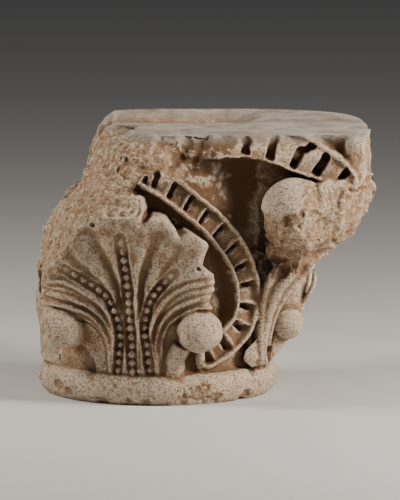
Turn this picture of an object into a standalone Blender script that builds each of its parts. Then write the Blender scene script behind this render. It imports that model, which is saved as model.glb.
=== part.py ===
"""Romanesque capital of carved limestone, broken at its front left corner.

A round necking ring carries a bell that turns square under the abacus. A palmette with beaded
stems stands on the front corner, a leaf with a ball on the right corner, and two pierced ladder
bands cross the face between them. The stone is one solid, flat above and below, with a plain back.

Azimuths are degrees round the axis, from -Y towards +X. The carving is laid out in modules.
"""

import math

import bmesh
import bpy
import numpy as np
from mathutils import Vector, noise

# Driving sizes, in metres
HEIGHT = 0.300
BELL_RADIUS = 0.120
RING_RADIUS = 0.135
RING_HEIGHT = 0.035
CORNER_REACH = 0.238
BACK_DEPTH = 0.151
TOP_HOLLOW_DEPTH = 0.014
BALL_RADIUS = 0.025
CORNER_BALL_RADIUS = 0.038
BAND_WIDTH = 0.0335
BAND_RIM = 0.0065
BAND_DEPTH = 0.013
BREAK_ROUGHNESS = 0.005
BREAK_GRAIN = 0.022
VOXEL = 0.0021
MOST_TRIANGLES = 9800

# The mason's module: 266 to the height, 106 to the bell's radius
UP = HEIGHT / 266.0
OUT = BELL_RADIUS / 106.0
TOP = HEIGHT / UP
SPARE = 3.0
ARC = math.radians(1.0) * 124.0

# The break runs square to this azimuth: what stood in front of it or left of it is lost.
# Places on it are given in modules across to the right, ahead and up.
BREAK_AZIMUTH = 15.3
CORNER_ACROSS = 210.0
BACK_BEHIND = 133.4

NAME = "capital"


def ease(low, high, value):
    """0 at low, 1 at high, with a smooth change between; low may be the larger."""
    share = np.clip((value - low) / (high - low), 0.0, 1.0)
    return share * share * (3.0 - 2.0 * share)


def curve_through(points, steps=4):
    """A smooth route through the points, as a list of points."""
    ends = [points[0]] + list(points) + [points[-1]]
    route = []
    for before, start, end, after in zip(ends, ends[1:], ends[2:], ends[3:]):
        for step in range(steps):
            t = step / steps
            row = []
            for p0, p1, p2, p3 in zip(before, start, end, after):
                bend = (2 * p0 - 5 * p1 + 4 * p2 - p3) * t * t + (3 * p1 - p0 - 3 * p2 + p3) * t**3
                row.append(0.5 * (2 * p1 + (p2 - p0) * t + bend))
            route.append(tuple(row))
    route.append(tuple(points[-1]))
    return route


def nearest(route, azimuth, height, arc=ARC):
    """How far each place lies from the route, and how far along it, both in modules."""
    best = np.full(azimuth.shape, 1e9)
    along = np.zeros(azimuth.shape)
    passed = 0.0
    for (a0, z0), (a1, z1) in zip(route, route[1:]):
        da, dz = (a1 - a0) * arc, z1 - z0
        length = math.hypot(da, dz)
        from_a, from_z = (azimuth - a0) * arc, height - z0
        share = np.clip((from_a * da + from_z * dz) / length**2, 0.0, 1.0)
        gap = np.hypot(from_a - share * da, from_z - share * dz)
        closer = gap < best
        best = np.where(closer, gap, best)
        along = np.where(closer, passed + share * length, along)
        passed += length
    return best, along


def inside_by(outline, azimuth, height):
    """How deep each place lies inside a closed outline, in modules; negative outside."""
    loop = list(outline) + [outline[0]]
    inside = np.zeros(azimuth.shape, bool)
    for (a0, z0), (a1, z1) in zip(loop, loop[1:]):
        if z0 != z1:
            spans = (z0 > height) != (z1 > height)
            inside ^= spans & (azimuth < a0 + (height - z0) * (a1 - a0) / (z1 - z0))
    gap, along = nearest(loop, azimuth, height)
    return np.where(inside, gap, -gap)


def in_break_frame(x, y):
    """Modules to the right along the break, and modules in front of it."""
    turn = math.radians(BREAK_AZIMUTH)
    return x * math.cos(turn) + y * math.sin(turn), x * math.sin(turn) - y * math.cos(turn)


def drawn_out(across):
    """Moves places near the right corner out or in with the corner's reach."""
    return across + (CORNER_REACH / OUT - CORNER_ACROSS) * ease(80.0, 200.0, np.asarray(across, float))


def place(across, ahead, height):
    """A point in metres from its modules across, ahead and up."""
    turn = math.radians(BREAK_AZIMUTH)
    across = drawn_out(across)
    x = across * math.cos(turn) + ahead * math.sin(turn)
    y = across * math.sin(turn) - ahead * math.cos(turn)
    return (x * OUT, y * OUT, height * UP)


# The outline of the block seen from above, across and ahead, and how far the broken faces stand
# from the axis at each height: in front, and on the left
TOP_OUTLINE = (
    (28, 76), (80, 76), (130, 74), (160, 69), (190, 66), (204, 50), (209, 15), (206, -24), (200, -63),
    (183, -97), (150, -120), (97, -133), (30, -134), (-28, -133), (-66, -118), (-96, -72), (-108, 0),
    (-104, 62), (-70, 108), (-24, 122), (6, 100),
)
FRONT_BREAK = ((150, 190, 203, 235, 266), (170, 143, 126, 97, 80))
LEFT_BREAK = (
    (30, 100, 120, 145, 165, 183, 193, 199, 210, 230, 251, 262, 266),
    (119, 124, 124, 121, 113, 100, 88, 77, 74, 68, 62, 53, 46),
)
# Where the block begins, by azimuth: the mass left of the face hangs lower than the face's edge
BLOCK_FOOT = ((-60, -12, 2, 8, 20, 66), (196, 200, 210, 224, 239, 239))


def bell(azimuth, height):
    """The plain ground behind the carving, with the thick uncarved cheek on its left."""
    reach = np.interp(height, (31, 70, 120, 200, 266), (106, 103, 99, 96, 97))
    cheek = np.interp(height, (31, 60, 100, 145, 180), (11, 14, 22, 24, 18))
    away = (azimuth % 360.0 - 278.0) / 34.0
    return reach + cheek * np.exp(-(away**4))


def ring(height):
    """The necking ring, as a radius at each height."""
    middle = 0.5 * RING_HEIGHT / UP
    outer = RING_RADIUS / OUT
    bulge = np.clip(1.0 - np.abs((height - middle) / (middle + 1.5)) ** 2.6, 0.0, 1.0) ** 0.5
    return outer - 15.0 + 15.0 * bulge


def top_outline(azimuth):
    """The reach of the block's outline at each azimuth."""
    turns, reaches = [], []
    for across, ahead in curve_through(list(TOP_OUTLINE) + [TOP_OUTLINE[0]])[:-1]:
        across, ahead = float(drawn_out(across)), ahead * BACK_DEPTH / OUT / BACK_BEHIND
        turns.append((math.degrees(math.atan2(across, ahead)) + BREAK_AZIMUTH) % 360.0)
        reaches.append(math.hypot(across, ahead))
    order = np.argsort(turns)
    return np.interp(azimuth % 360.0, np.array(turns)[order], np.array(reaches)[order], period=360.0)


def block(azimuth, height):
    """The abacus block, which swells out of the bell on the right and at the back."""
    signed = (azimuth + 180.0) % 360.0 - 180.0
    behind = np.maximum(ease(66, 88, signed), ease(-60, -90, signed))
    foot = np.interp(signed, *BLOCK_FOOT)
    swell = ease(foot, foot + 6.0, height) * (1.0 - behind) + ease(112, 212, height) * behind
    return bell(azimuth, height) * (1.0 - swell) + top_outline(azimuth) * swell


def break_reach(azimuth, height):
    """How far the stone still reaches after the front left corner was lost."""
    ahead = np.interp(height, *FRONT_BREAK)
    aside = np.interp(height, *LEFT_BREAK)
    turn = np.radians(azimuth - BREAK_AZIMUTH)
    front = np.clip(np.cos(turn), 0.0, None) / ahead
    left = np.clip(-np.sin(turn), 0.0, None) / aside
    return 1.0 / np.maximum((front**2.6 + left**2.6) ** (1 / 2.6), 1e-4)


# The palmette as azimuths and heights: its lobed outline, the channels of its beaded stems, the
# ridges that curl over its balls, the flutes towards its lobes, and the balls
LEAF = (
    (16.5, 29), (18.5, 50), (19, 66), (21.5, 80), (26, 89), (32, 94), (38, 95.5), (41.5, 97), (39.5, 103),
    (38.5, 108), (40.8, 116), (40.3, 124), (39.8, 134), (34.6, 143), (35.5, 152), (36.9, 163), (35.7, 168),
    (30.3, 177), (24.9, 172), (24, 179), (20, 189), (16.5, 192), (12.5, 192), (9.4, 187), (9.5, 198),
    (8.4, 207), (3.2, 213), (-4, 212), (-12, 208), (-24, 202), (-36, 196), (-48, 180), (-54, 160),
    (-56, 140), (-54, 124), (-48, 116), (-51, 108), (-50, 98), (-44, 92), (-36, 91), (-27, 88),
    (-18, 78), (-13.5, 66), (-11.5, 50), (-10.5, 29),
)
ROWS = (
    ((2.9, 29), (2.6, 42), (2.4, 68), (1.7, 93), (1.3, 121), (0.3, 146), (-0.6, 169)),
    ((11.8, 29), (10.8, 46), (9.9, 60), (9, 75), (11.1, 101), (17.5, 122), (22.5, 134.5)),
    ((-5.6, 29), (-4.5, 40), (-3.2, 74), (-6.6, 99), (-11.8, 113), (-18.9, 124), (-28.6, 139)),
)
RIDGES = (
    ((13.4, 29), (11.9, 67), (13.6, 86), (17.2, 102), (23, 114.5), (30, 122.5), (38.6, 125)),
    ((16.2, 29), (14.6, 61), (16.4, 80), (21.2, 94), (27, 103), (33.2, 108.5), (38.6, 109.5)),
    ((18.6, 29), (17.6, 49), (18, 66), (20.8, 83), (26, 91.5), (32, 96.5), (38.5, 97.5)),
    ((-7.4, 29), (-6.1, 66), (-7.4, 85), (-11.7, 100), (-17.5, 110), (-26.5, 120.5), (-36, 121)),
    ((-8.9, 29), (-7.5, 64), (-9.8, 82), (-15, 94), (-21, 101), (-29.5, 107.5), (-44.4, 109)),
    ((-10.6, 29), (-9.3, 60), (-11.2, 72), (-14.8, 84), (-19.6, 91), (-26.5, 96), (-45, 97)),
)
# Each flute: its route, its half width at the foot and at the lobe, and its depth
FLUTES = (
    (((6.4, 76), (8.2, 123), (10.0, 140), (14.4, 172)), 1.5, 8.5, 7.5),
    (((-0.8, 76), (-1.9, 98), (-4.3, 121), (-7.4, 140), (-13.6, 172)), 1.5, 9.0, 8.0),
    (((-4.6, 97), (-12.2, 122), (-18.6, 136), (-26.8, 160)), 1.0, 7.5, 5.0),
)
# Each ball: azimuth, height and share of the full radius
BALLS = ((34.6, 75.5, 1.0), (-31.6, 74.5, 0.955))
BALL_OUT = 126.0
LEAF_FACE = ((30, 75, 120, 165, 210), (116, 119, 125, 134, 144))


def palmette(azimuth, height):
    """How far the leaf reaches out, and where it covers the bell, from 0 to 1."""
    side = np.abs(azimuth - 2.5)
    depth = inside_by(LEAF, azimuth, height)
    cover = ease(-1.6, 2.0, depth)
    reach = np.interp(height, *LEAF_FACE) + 15.0 * ease(12, 36, side) * ease(60, 92, height)
    for route, narrow, wide, sink in FLUTES:
        gap, along = nearest(curve_through(route), azimuth, height)
        width = narrow + (wide - narrow) * along / along.max()
        reach -= sink * ease(width, 0.0, gap) * ease(0, 22, along)
    for route in RIDGES:
        gap, along = nearest(curve_through(route), azimuth, height)
        reach += 3.6 * ease(4.2, 0.8, gap) - 1.6 * ease(7.5, 4.2, gap)
    for route in ROWS:
        gap, along = nearest(curve_through(route), azimuth, height)
        reach += 1.2 * ease(8.0, 6.2, gap) - 5.0 * ease(6.2, 4.4, gap) + 3.4 * ease(3.6, 1.5, gap)
    for ball_at, ball_up, share in BALLS:
        radius = share * BALL_RADIUS / OUT
        gap, along = nearest(((ball_at, ball_up), (ball_at, ball_up + 0.1)), azimuth, height)
        ball_reach = BALL_OUT + np.sqrt(np.clip(radius**2 - gap**2, 0.0, None))
        inside = ease(radius + 1.5, radius - 0.5, gap)
        reach = reach * (1.0 - inside) + ball_reach * inside
        cover = np.maximum(cover, inside)
    return reach, cover


# The ladder band that sweeps down the face and curls under, and the middles of its slots
BAND = ((9, 229), (20, 218), (33.5, 198), (46, 176), (57, 147), (62.8, 113), (61, 84), (54.5, 65), (42, 49))
SLOTS = (
    (5, 230), (14, 222), (23.5, 215), (32.5, 202), (40.5, 187), (48.4, 172), (55.4, 154), (60.2, 135),
    (62.3, 116), (61.2, 95), (57.1, 79), (50.1, 64), (40, 47),
)


def ladder(azimuth, height):
    """How far the pierced band reaches out, and where it covers the bell."""
    route = curve_through(BAND)
    gap, along = nearest(route, azimuth, height)
    spots = np.array(SLOTS, float)
    slots = np.sort(nearest(route, spots[:, 0], spots[:, 1])[1])
    half = 0.5 * BAND_WIDTH / OUT
    rim = BAND_RIM / OUT
    deep = BAND_DEPTH / OUT
    face = np.interp(azimuth, (0, 25, 45, 60, 75), (107, 110, 114, 121, 130))
    in_rim = ease(half - 1.3 * rim, half - 0.75 * rim, gap)
    which = np.clip(np.searchsorted(slots, along) - 1, 0, len(slots) - 2)
    since, pitch = along - slots[which], slots[which + 1] - slots[which]
    from_slot = np.minimum(np.abs(since), np.abs(pitch - since))
    on_bar = ease(1.8, 4.2, from_slot) * (0.42 + 0.46 * ease(0.1, 0.8, since / pitch))
    return face - deep + deep * np.maximum(in_rim, on_bar), ease(half + 1.2, half - 0.8, gap)


def carved_reach(azimuth, height):
    """The stone's radius in modules at each azimuth and height."""
    reach = block(azimuth, height)
    leaf_near = np.abs(azimuth) < 66.0
    band_near = (azimuth > -4.0) & (azimuth < 84.0)
    for shape, near in ((palmette, leaf_near), (ladder, band_near)):
        found, cover = shape(azimuth[near], height[near])
        old = reach[near]
        reach[near] = np.maximum(old, old + (found - old) * cover)
    reach = np.minimum(reach, break_reach(azimuth, height))
    foot = ease(RING_HEIGHT / UP + 2.0, RING_HEIGHT / UP - 1.0, height)
    return reach * (1.0 - foot) + ring(height) * foot


def top_hollow(across, ahead):
    """How deep the worn hollow behind the front edge of the top goes, in modules."""
    valley = ease(-16, -40, ahead) * ease(-138, -92, ahead)
    return (TOP_HOLLOW_DEPTH / UP + SPARE) * valley * ease(112, 60, across)


def grid(columns, rows):
    """A fine sheet of points, and where each lies from 0 to 1 along both sides."""
    bpy.ops.mesh.primitive_grid_add(x_subdivisions=columns, y_subdivisions=rows)
    sheet = bpy.context.object
    points = np.empty(len(sheet.data.vertices) * 3)
    sheet.data.vertices.foreach_get("co", points)
    points = 0.5 * (points.reshape(-1, 3) + 1.0)
    return sheet, points[:, 0], points[:, 1]


def turned_drum(columns=440, row_height=1.5, cap_rows=44):
    """A sheet rolled into a drum, with its points moved to the carved reach."""
    low, high = -SPARE, TOP + SPARE
    rows = int((high - low) / row_height)
    drum, round_share, up_share = grid(columns, rows + 2 * cap_rows)
    azimuth = np.round(round_share * columns) * 360.0 / columns - 90.0
    row = np.round(up_share * (rows + 2 * cap_rows)) - cap_rows
    height = low + (high - low) * np.clip(row / rows, 0.0, 1.0)
    share = np.clip(np.minimum(1.0 + row / cap_rows, 1.0 + (rows - row) / cap_rows), 0.0, 1.0)
    reach = carved_reach(azimuth, np.clip(height, 0.5, TOP)) * share
    x = reach * np.sin(np.radians(azimuth))
    y = -reach * np.cos(np.radians(azimuth))
    across, ahead = in_break_frame(x, y)
    height = height - top_hollow(across, ahead) * ease(TOP - 30.0, TOP, height)
    drum.data.vertices.foreach_set("co", np.column_stack((x * OUT, y * OUT, height * UP)).ravel())
    return welded(drum)


def welded(shape, gap=0.00002):
    """Closes the seams of a shape and turns its faces outwards."""
    work = bmesh.new()
    work.from_mesh(shape.data)
    bmesh.ops.remove_doubles(work, verts=work.verts, dist=gap)
    bmesh.ops.dissolve_degenerate(work, edges=work.edges, dist=gap)
    open_edges = [edge for edge in work.edges if edge.is_boundary]
    bmesh.ops.holes_fill(work, edges=open_edges, sides=0)
    bmesh.ops.recalc_face_normals(work, faces=work.faces)
    work.to_mesh(shape.data)
    work.free()
    return shape


# The upper ladder band as a strip under the top, across and up: its two rims, and its slots with
# their half widths at both ends
LOWER_RIM = (
    (14, 226), (22, 237), (34, 239), (54, 243.4), (70, 244.9), (89, 244.7), (109, 240.4), (120, 237),
    (134, 230.6), (148, 226), (162, 221.5), (176, 217.5), (193, 213),
)
UPPER_RIM = (
    (118, 275), (132, 267.5), (145, 264), (157, 258), (176, 246.5), (187.5, 236), (195.5, 226), (195, 214),
)
UPPER_SLOTS = (
    ((88, 260), (86.5, 246.5), 2.2, 3.6), ((115.5, 262), (111.5, 243.5), 2.4, 3.6),
    ((143, 249), (135, 235.5), 2.8, 3.0), ((166, 244), (157.5, 228.5), 2.8, 3.0),
    ((187, 229.5), (178.5, 219), 2.8, 2.6),
)
SLOT_DEPTH = 13.0
SHEET_BACK = 30.0
SHEET_ACROSS, SHEET_UP = (-6.0, 212.0), (205.0, TOP + SPARE)
BOSS_AT, BOSS_TOP, BOSS_RADIUS, BOSS_AHEAD = 197.0, 252.0, 13.5, 62.0


def strip_front(across, height):
    """How far the strip under the top reaches forwards, in modules."""
    low = np.interp(across, *zip(*curve_through(LOWER_RIM)))
    face = 79.0 + 13.0 * ease(TOP, 243.0, height) - 0.06 * np.clip(across - 120.0, 0.0, None)
    to_low, along = nearest(LOWER_RIM, across, height, 1.0)
    to_high, along = nearest(UPPER_RIM, across, height, 1.0)
    falling = UPPER_RIM[:-1]
    beyond = across > np.interp(-height, [-up for at, up in falling], [at for at, up in falling])
    front = face - 1.5
    for start, end, narrow, wide in UPPER_SLOTS:
        gap, along = nearest((start, end), across, height, 1.0)
        width = narrow + (wide - narrow) * along / along.max()
        front = front - SLOT_DEPTH * ease(width + 1.0, width - 1.0, gap)
    front = front + (face + 2.0 - front) * ease(4.4, 2.0, to_low) * ease(40, 56, across)
    front = np.where(beyond, 68.0 + 5.0 * ease(252.0, TOP, height), front)
    front = front + (face + 1.0 - front) * ease(3.8, 1.6, to_high)
    dome = np.clip(height - BOSS_TOP, 0.0, None)
    boss = np.sqrt(np.clip(BOSS_RADIUS**2 - (across - BOSS_AT) ** 2 - dome**2, 0.0, None))
    front = np.maximum(front, np.where(boss > 0.0, BOSS_AHEAD + boss, 0.0))
    sunk = ease(low - 2.8, low - 0.6, height) * ease(SHEET_ACROSS[0], 30.0, across) ** 0.5
    end = ease(SHEET_ACROSS[1] - 0.5, SHEET_ACROSS[1] - 9.0, across)
    rounded = np.sqrt(1.0 - (1.0 - end) ** 2)
    return SHEET_BACK + 1.0 + (front - SHEET_BACK - 1.0) * sunk * rounded


def upper_strip(step=1.7):
    """A sheet that stands square to the break, with its border closed behind."""
    columns = int((SHEET_ACROSS[1] - SHEET_ACROSS[0]) / step)
    rows = int((SHEET_UP[1] - SHEET_UP[0]) / step)
    strip, right_share, up_share = grid(columns, rows)
    across = SHEET_ACROSS[0] + right_share * (SHEET_ACROSS[1] - SHEET_ACROSS[0])
    height = SHEET_UP[0] + up_share * (SHEET_UP[1] - SHEET_UP[0])
    inner = np.minimum(np.minimum(right_share, 1.0 - right_share), np.minimum(up_share, 1.0 - up_share))
    ahead = np.where(inner < 0.0001, SHEET_BACK, strip_front(across, np.minimum(height, TOP)))
    strip.data.vertices.foreach_set("co", np.column_stack(place(across, ahead, height)).ravel())
    return welded(strip)


def ball(name, centre, radius):
    """A ball; its centre in modules along the break frame, its radius in modules."""
    size = radius * OUT
    bpy.ops.mesh.primitive_uv_sphere_add(segments=48, ring_count=32, radius=size, location=place(*centre))
    lump = bpy.context.object
    lump.name = name
    return lump


def chipped(name, corners):
    """A faceted lump, as the convex hull over its corner points."""
    work = bmesh.new()
    for corner in corners:
        work.verts.new(place(*corner))
    bmesh.ops.convex_hull(work, input=work.verts)
    inner = [vert for vert in work.verts if not vert.link_faces]
    bmesh.ops.delete(work, geom=inner, context="VERTS")
    mesh = bpy.data.meshes.new(name)
    work.to_mesh(mesh)
    work.free()
    lump = bpy.data.objects.new(name, mesh)
    bpy.context.scene.collection.objects.link(lump)
    return welded(lump)


def rod(name, route, thick, thin):
    """A round rod through the route, as a mesh; thick and thin are its end radii in modules."""
    curve = bpy.data.curves.new(name, "CURVE")
    curve.dimensions = "3D"
    curve.bevel_depth = OUT
    curve.bevel_resolution = 3
    curve.use_fill_caps = True
    spline = curve.splines.new("POLY")
    spline.points.add(len(route) - 1)
    for index, (point, step) in enumerate(zip(spline.points, route)):
        share = index / (len(route) - 1)
        point.co = (*place(*step), 1.0)
        point.radius = thick + (thin - thick) * share
    holder = bpy.data.objects.new(name, curve)
    bpy.context.scene.collection.objects.link(holder)
    bpy.context.view_layer.update()
    graph = bpy.context.evaluated_depsgraph_get()
    mesh = bpy.data.meshes.new_from_object(holder.evaluated_get(graph))
    bpy.data.objects.remove(holder)
    shape = bpy.data.objects.new(name, mesh)
    bpy.context.scene.collection.objects.link(shape)
    return welded(shape)


# The right corner: the broken mass round the big ball, what hangs under it, and the leaf below
BROKEN_MASS = (
    (206, 50, 227), (215, 46, 223.5), (219.5, 44, 216), (220, 40, 205), (216.5, 44, 196), (209, 48, 181),
    (201, 50, 167), (194, 52, 160), (184, 56, 152.5), (172, 60, 148.5), (166, 106, 214), (160, 120, 200),
    (158, 117, 178), (153, 100, 158), (186, 88, 221), (197, 82, 208), (186, 96, 190), (180, 88, 168),
    (150, 86, 150), (140, 60, 150), (205, -12, 222), (207, -12, 200), (180, -10, 165), (150, 0, 150),
    (150, 0, 225), (150, 80, 222),
)
UNDER_MASS = (
    (176, 58, 152), (164, 58, 139), (156, 52, 130), (118, 72, 141), (104, 76, 141), (108, 80, 158),
    (124, 92, 162), (150, 100, 170), (136, 84, 122), (122, 76, 126), (150, 66, 124), (120, 40, 130),
    (150, 20, 140), (170, 10, 160), (108, 60, 170),
)
LEAF_BACK = (
    (156, 34, 131), (154.5, 36, 112), (151, 38, 106), (146, 40, 94), (144, 36, 84), (140, 34, 69),
    (131, 32, 58), (122, 30, 46), (113, 34, 34), (104, 44, 34), (108, 54, 60), (122, 58, 95),
    (140, 56, 130), (96, 48, 60), (98, 52, 110), (90, 50, 150), (80, 30, 34), (80, 10, 150),
    (110, 0, 40), (125, 0, 80), (140, -5, 130),
)
LEAF_LOBE = (
    (124, 58, 100), (130, 56, 112), (142, 50, 117), (148, 46, 112), (144, 46, 98), (136, 52, 91),
    (126, 58, 92), (130, 30, 100), (142, 28, 106),
)
FOOT = (
    (96, 60, 30), (113, 42, 30), (110, 56, 44), (102, 66, 48), (97, 70, 60), (93, 72, 44), (100, 30, 34),
)
LOW_LOBE = ((98, 74, 62), (86, 80, 50), (84, 78, 40), (94, 70, 30), (102, 66, 33), (99, 74, 45), (90, 50, 40))
LEAF_RIM = (((156, 44, 128), (155, 48, 114), (150.5, 48, 104), (145.5, 46, 95)), 3.2, 3.0)
STEMS = (
    (((104, 62, 32), (104, 66, 48), (110, 70, 74), (124, 77, 104), (142, 80, 128), (156, 84, 146)), 6.0, 12.0),
    (((108, 60, 40), (112, 66, 64), (122, 70, 88), (138, 72, 110), (154, 70, 130)), 4.0, 7.0),
    (((101, 66, 40), (104, 72, 66), (114, 78, 94), (128, 84, 116), (140, 86, 134)), 3.0, 5.0),
)
CORNER_BALL_AT = (135, 96, 192)
LEAF_BALL_AT, LEAF_BALL_SHARE = (127.5, 46, 74), 0.8


def right_corner():
    """What is left of the corner: the big ball, the broken mass and the leaf below."""
    hulls = (BROKEN_MASS, UNDER_MASS, LEAF_BACK, LEAF_LOBE, FOOT, LOW_LOBE)
    shapes = [chipped("lump", corners) for corners in hulls]
    shapes.append(ball("corner_ball", CORNER_BALL_AT, CORNER_BALL_RADIUS / OUT))
    shapes.append(ball("leaf_ball", LEAF_BALL_AT, LEAF_BALL_SHARE * BALL_RADIUS / OUT))
    for route, thick, thin in (LEAF_RIM,) + STEMS:
        shapes.append(rod("stem", curve_through(route), thick, thin))
    return shapes


def one_solid(shapes):
    """Fuses the shapes into one closed mesh, cut flat above and below."""
    work = bmesh.new()
    for shape in shapes:
        bpy.context.view_layer.update()
        mesh = shape.data.copy()
        mesh.transform(shape.matrix_world)
        work.from_mesh(mesh)
        bpy.data.meshes.remove(mesh)
        bpy.data.objects.remove(shape)
    fused = bpy.data.meshes.new(NAME)
    work.to_mesh(fused)
    work.free()
    stone = bpy.data.objects.new(NAME, fused)
    bpy.context.scene.collection.objects.link(stone)
    remesh = stone.modifiers.new("Fuse", "REMESH")
    remesh.mode = "VOXEL"
    remesh.voxel_size = VOXEL
    settle(stone)
    roughen(stone)
    flatten(stone, (0, 0, HEIGHT), (0, 0, 1))
    flatten(stone, (0, 0, 0), (0, 0, -1))
    return stone


def settle(shape):
    """Applies the modifiers of a shape to its mesh."""
    bpy.context.view_layer.update()
    graph = bpy.context.evaluated_depsgraph_get()
    mesh = bpy.data.meshes.new_from_object(shape.evaluated_get(graph))
    shape.modifiers.clear()
    old, shape.data = shape.data, mesh
    bpy.data.meshes.remove(old)


def flatten(shape, point, outwards):
    """Cuts a shape off at a plane and closes it with a flat face."""
    work = bmesh.new()
    work.from_mesh(shape.data)
    everything = work.verts[:] + work.edges[:] + work.faces[:]
    cut = bmesh.ops.bisect_plane(
        work, geom=everything, dist=0.00005, plane_co=point, plane_no=outwards, clear_outer=True
    )
    edges = [item for item in cut["geom_cut"] if isinstance(item, bmesh.types.BMEdge)]
    bmesh.ops.triangle_fill(work, use_beauty=True, use_dissolve=False, edges=edges, normal=outwards)
    bmesh.ops.triangulate(work, faces=work.faces)
    bmesh.ops.recalc_face_normals(work, faces=work.faces)
    work.to_mesh(shape.data)
    work.free()


def thin_out(shape):
    """Takes faces away where the stone is plain, down to the most that the part may have."""
    shape.data.calc_loop_triangles()
    decimate = shape.modifiers.new("Thin", "DECIMATE")
    decimate.ratio = min(1.0, MOST_TRIANGLES / len(shape.data.loop_triangles))
    settle(shape)


def broken_share(points):
    """How much of each place is a rough break, from 0 to 1; points in metres."""
    across, ahead = in_break_frame(points[:, 0] / OUT, points[:, 1] / OUT)
    height = points[:, 2] / UP
    azimuth = np.degrees(np.arctan2(points[:, 0], -points[:, 1]))
    reach = np.hypot(across, ahead)
    lost = ease(3.5, 1.0, np.abs(reach - break_reach(azimuth, height))) * ease(140, 60, across)
    right_of_ball = across - CORNER_BALL_AT[0] + 0.25 * (height - CORNER_BALL_AT[2])
    corner = ease(-7, 11, right_of_ball) * ease(134, 150, height) * ease(226, 212, height)
    return np.maximum(lost, corner * ease(-10, 10, ahead)) * ease(TOP, TOP - 6, height)


def roughen(shape):
    """Makes the broken places uneven, by moving their points along the normals."""
    mesh = shape.data
    points = np.empty(len(mesh.vertices) * 3)
    mesh.vertices.foreach_get("co", points)
    points = points.reshape(-1, 3)
    normals = np.empty(len(mesh.vertices) * 3)
    mesh.vertices.foreach_get("normal", normals)
    share = broken_share(points)
    lift = np.zeros(len(points))
    for index in np.flatnonzero(share > 0.01):
        spot = Vector(points[index] / BREAK_GRAIN)
        lift[index] = noise.fractal(spot, 1.0, 2.0, 2, noise_basis="PERLIN_ORIGINAL") - 0.35
    points += normals.reshape(-1, 3) * (BREAK_ROUGHNESS * share * lift)[:, None]
    mesh.vertices.foreach_set("co", points.ravel())


def limestone():
    """Warm beige limestone, matt."""
    material = bpy.data.materials.new("limestone")
    material.use_nodes = True
    shader = material.node_tree.nodes["Principled BSDF"]
    shader.inputs["Base Color"].default_value = (0.52, 0.42, 0.31, 1.0)
    shader.inputs["Roughness"].default_value = 0.9
    shader.inputs["Metallic"].default_value = 0.0
    return material


def main():
    for item in list(bpy.data.objects):
        bpy.data.objects.remove(item)
    stone = one_solid([turned_drum(), upper_strip()] + right_corner())
    thin_out(stone)
    stone.data.materials.append(limestone())
    stone.data.shade_smooth()
    stone.data.set_sharp_from_angle(angle=math.radians(35.0))
    collection = bpy.data.collections.new("romanesque_capital")
    bpy.context.scene.collection.children.link(collection)
    bpy.context.scene.collection.objects.unlink(stone)
    collection.objects.link(stone)


main()
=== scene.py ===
# %% [markdown]
# # A broken romanesque capital
#
# The real object is one block of limestone: a round necking ring, a bell with a palmette on its
# front corner, a pierced ladder band that sweeps down the face, and a second band under the flat
# top. Its front left corner was broken off long ago. Everything here is one piece of stone, so this
# script makes one mesh, and it takes the place of the plain CAD solid.

import math

import bmesh
import bpy
import numpy as np
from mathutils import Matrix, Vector, noise
from mathutils.bvhtree import BVHTree


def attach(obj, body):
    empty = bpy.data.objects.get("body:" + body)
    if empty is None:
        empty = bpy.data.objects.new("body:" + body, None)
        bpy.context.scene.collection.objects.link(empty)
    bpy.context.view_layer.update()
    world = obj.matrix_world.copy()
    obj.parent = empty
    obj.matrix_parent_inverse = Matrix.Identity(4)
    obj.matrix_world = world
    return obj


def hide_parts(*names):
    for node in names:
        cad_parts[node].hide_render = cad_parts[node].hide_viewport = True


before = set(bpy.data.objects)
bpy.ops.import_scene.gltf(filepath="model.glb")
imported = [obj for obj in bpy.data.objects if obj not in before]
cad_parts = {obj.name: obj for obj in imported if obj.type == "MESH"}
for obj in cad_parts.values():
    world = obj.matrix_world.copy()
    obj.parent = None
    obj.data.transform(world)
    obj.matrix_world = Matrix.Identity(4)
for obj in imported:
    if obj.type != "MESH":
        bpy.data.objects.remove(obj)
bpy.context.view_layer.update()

# %% [markdown]
# ## Sizes
#
# A mason sets a capital out in modules. Here one module is 1/266 of the height and 1/106 of the
# bell's radius, about 1.1 mm. Places on the stone are given as an azimuth, in degrees round the axis
# from the front towards the right, and a height in modules. The break was struck square to azimuth
# 15.3, so what it left is given along that direction: across, ahead and height. ARC is one degree of
# azimuth at the leaf's face, in modules. SPARE is what the drum stands past both beds until they are
# dressed flat.

# %% Sizes and modules
HEIGHT = 0.300
BELL_RADIUS = 0.120
RING_RADIUS = 0.135
RING_HEIGHT = 0.035
CORNER_REACH = 0.238
BACK_DEPTH = 0.151
TOP_HOLLOW_DEPTH = 0.014
BALL_RADIUS = 0.025
CORNER_BALL_RADIUS = 0.038
BAND_WIDTH = 0.0335
BAND_RIM = 0.0065
BAND_DEPTH = 0.013

UP = HEIGHT / 266.0
OUT = BELL_RADIUS / 106.0
TOP = HEIGHT / UP
SPARE = 0.5
BREAK_AZIMUTH = 15.3
LEAF_REACH = 124.0
ARC = math.radians(1.0) * LEAF_REACH


def ease(low, high, value):
    """0 at low, 1 at high, with a smooth change between; low may be the larger."""
    share = np.clip((value - low) / (high - low), 0.0, 1.0)
    return share * share * (3.0 - 2.0 * share)


def in_break_frame(x, y):
    """Distance to the right along the break, and in front of it, in the units given."""
    turn = math.radians(BREAK_AZIMUTH)
    return x * math.cos(turn) + y * math.sin(turn), x * math.sin(turn) - y * math.cos(turn)


def place(across, ahead, height):
    """A point in metres from its modules across, ahead and up."""
    turn = math.radians(BREAK_AZIMUTH)
    x = across * math.cos(turn) + ahead * math.sin(turn)
    y = across * math.sin(turn) - ahead * math.cos(turn)
    return (x * OUT, y * OUT, height * UP)


print("one module is", round(UP * 1000, 3), "mm up and", round(OUT * 1000, 3), "mm out")

# %% [markdown]
# ## Camera
#
# The photograph was taken from far away with a long lens, a little above the middle of the stone and
# square to the break. The camera comes first, because every later choice is judged through it.

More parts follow.
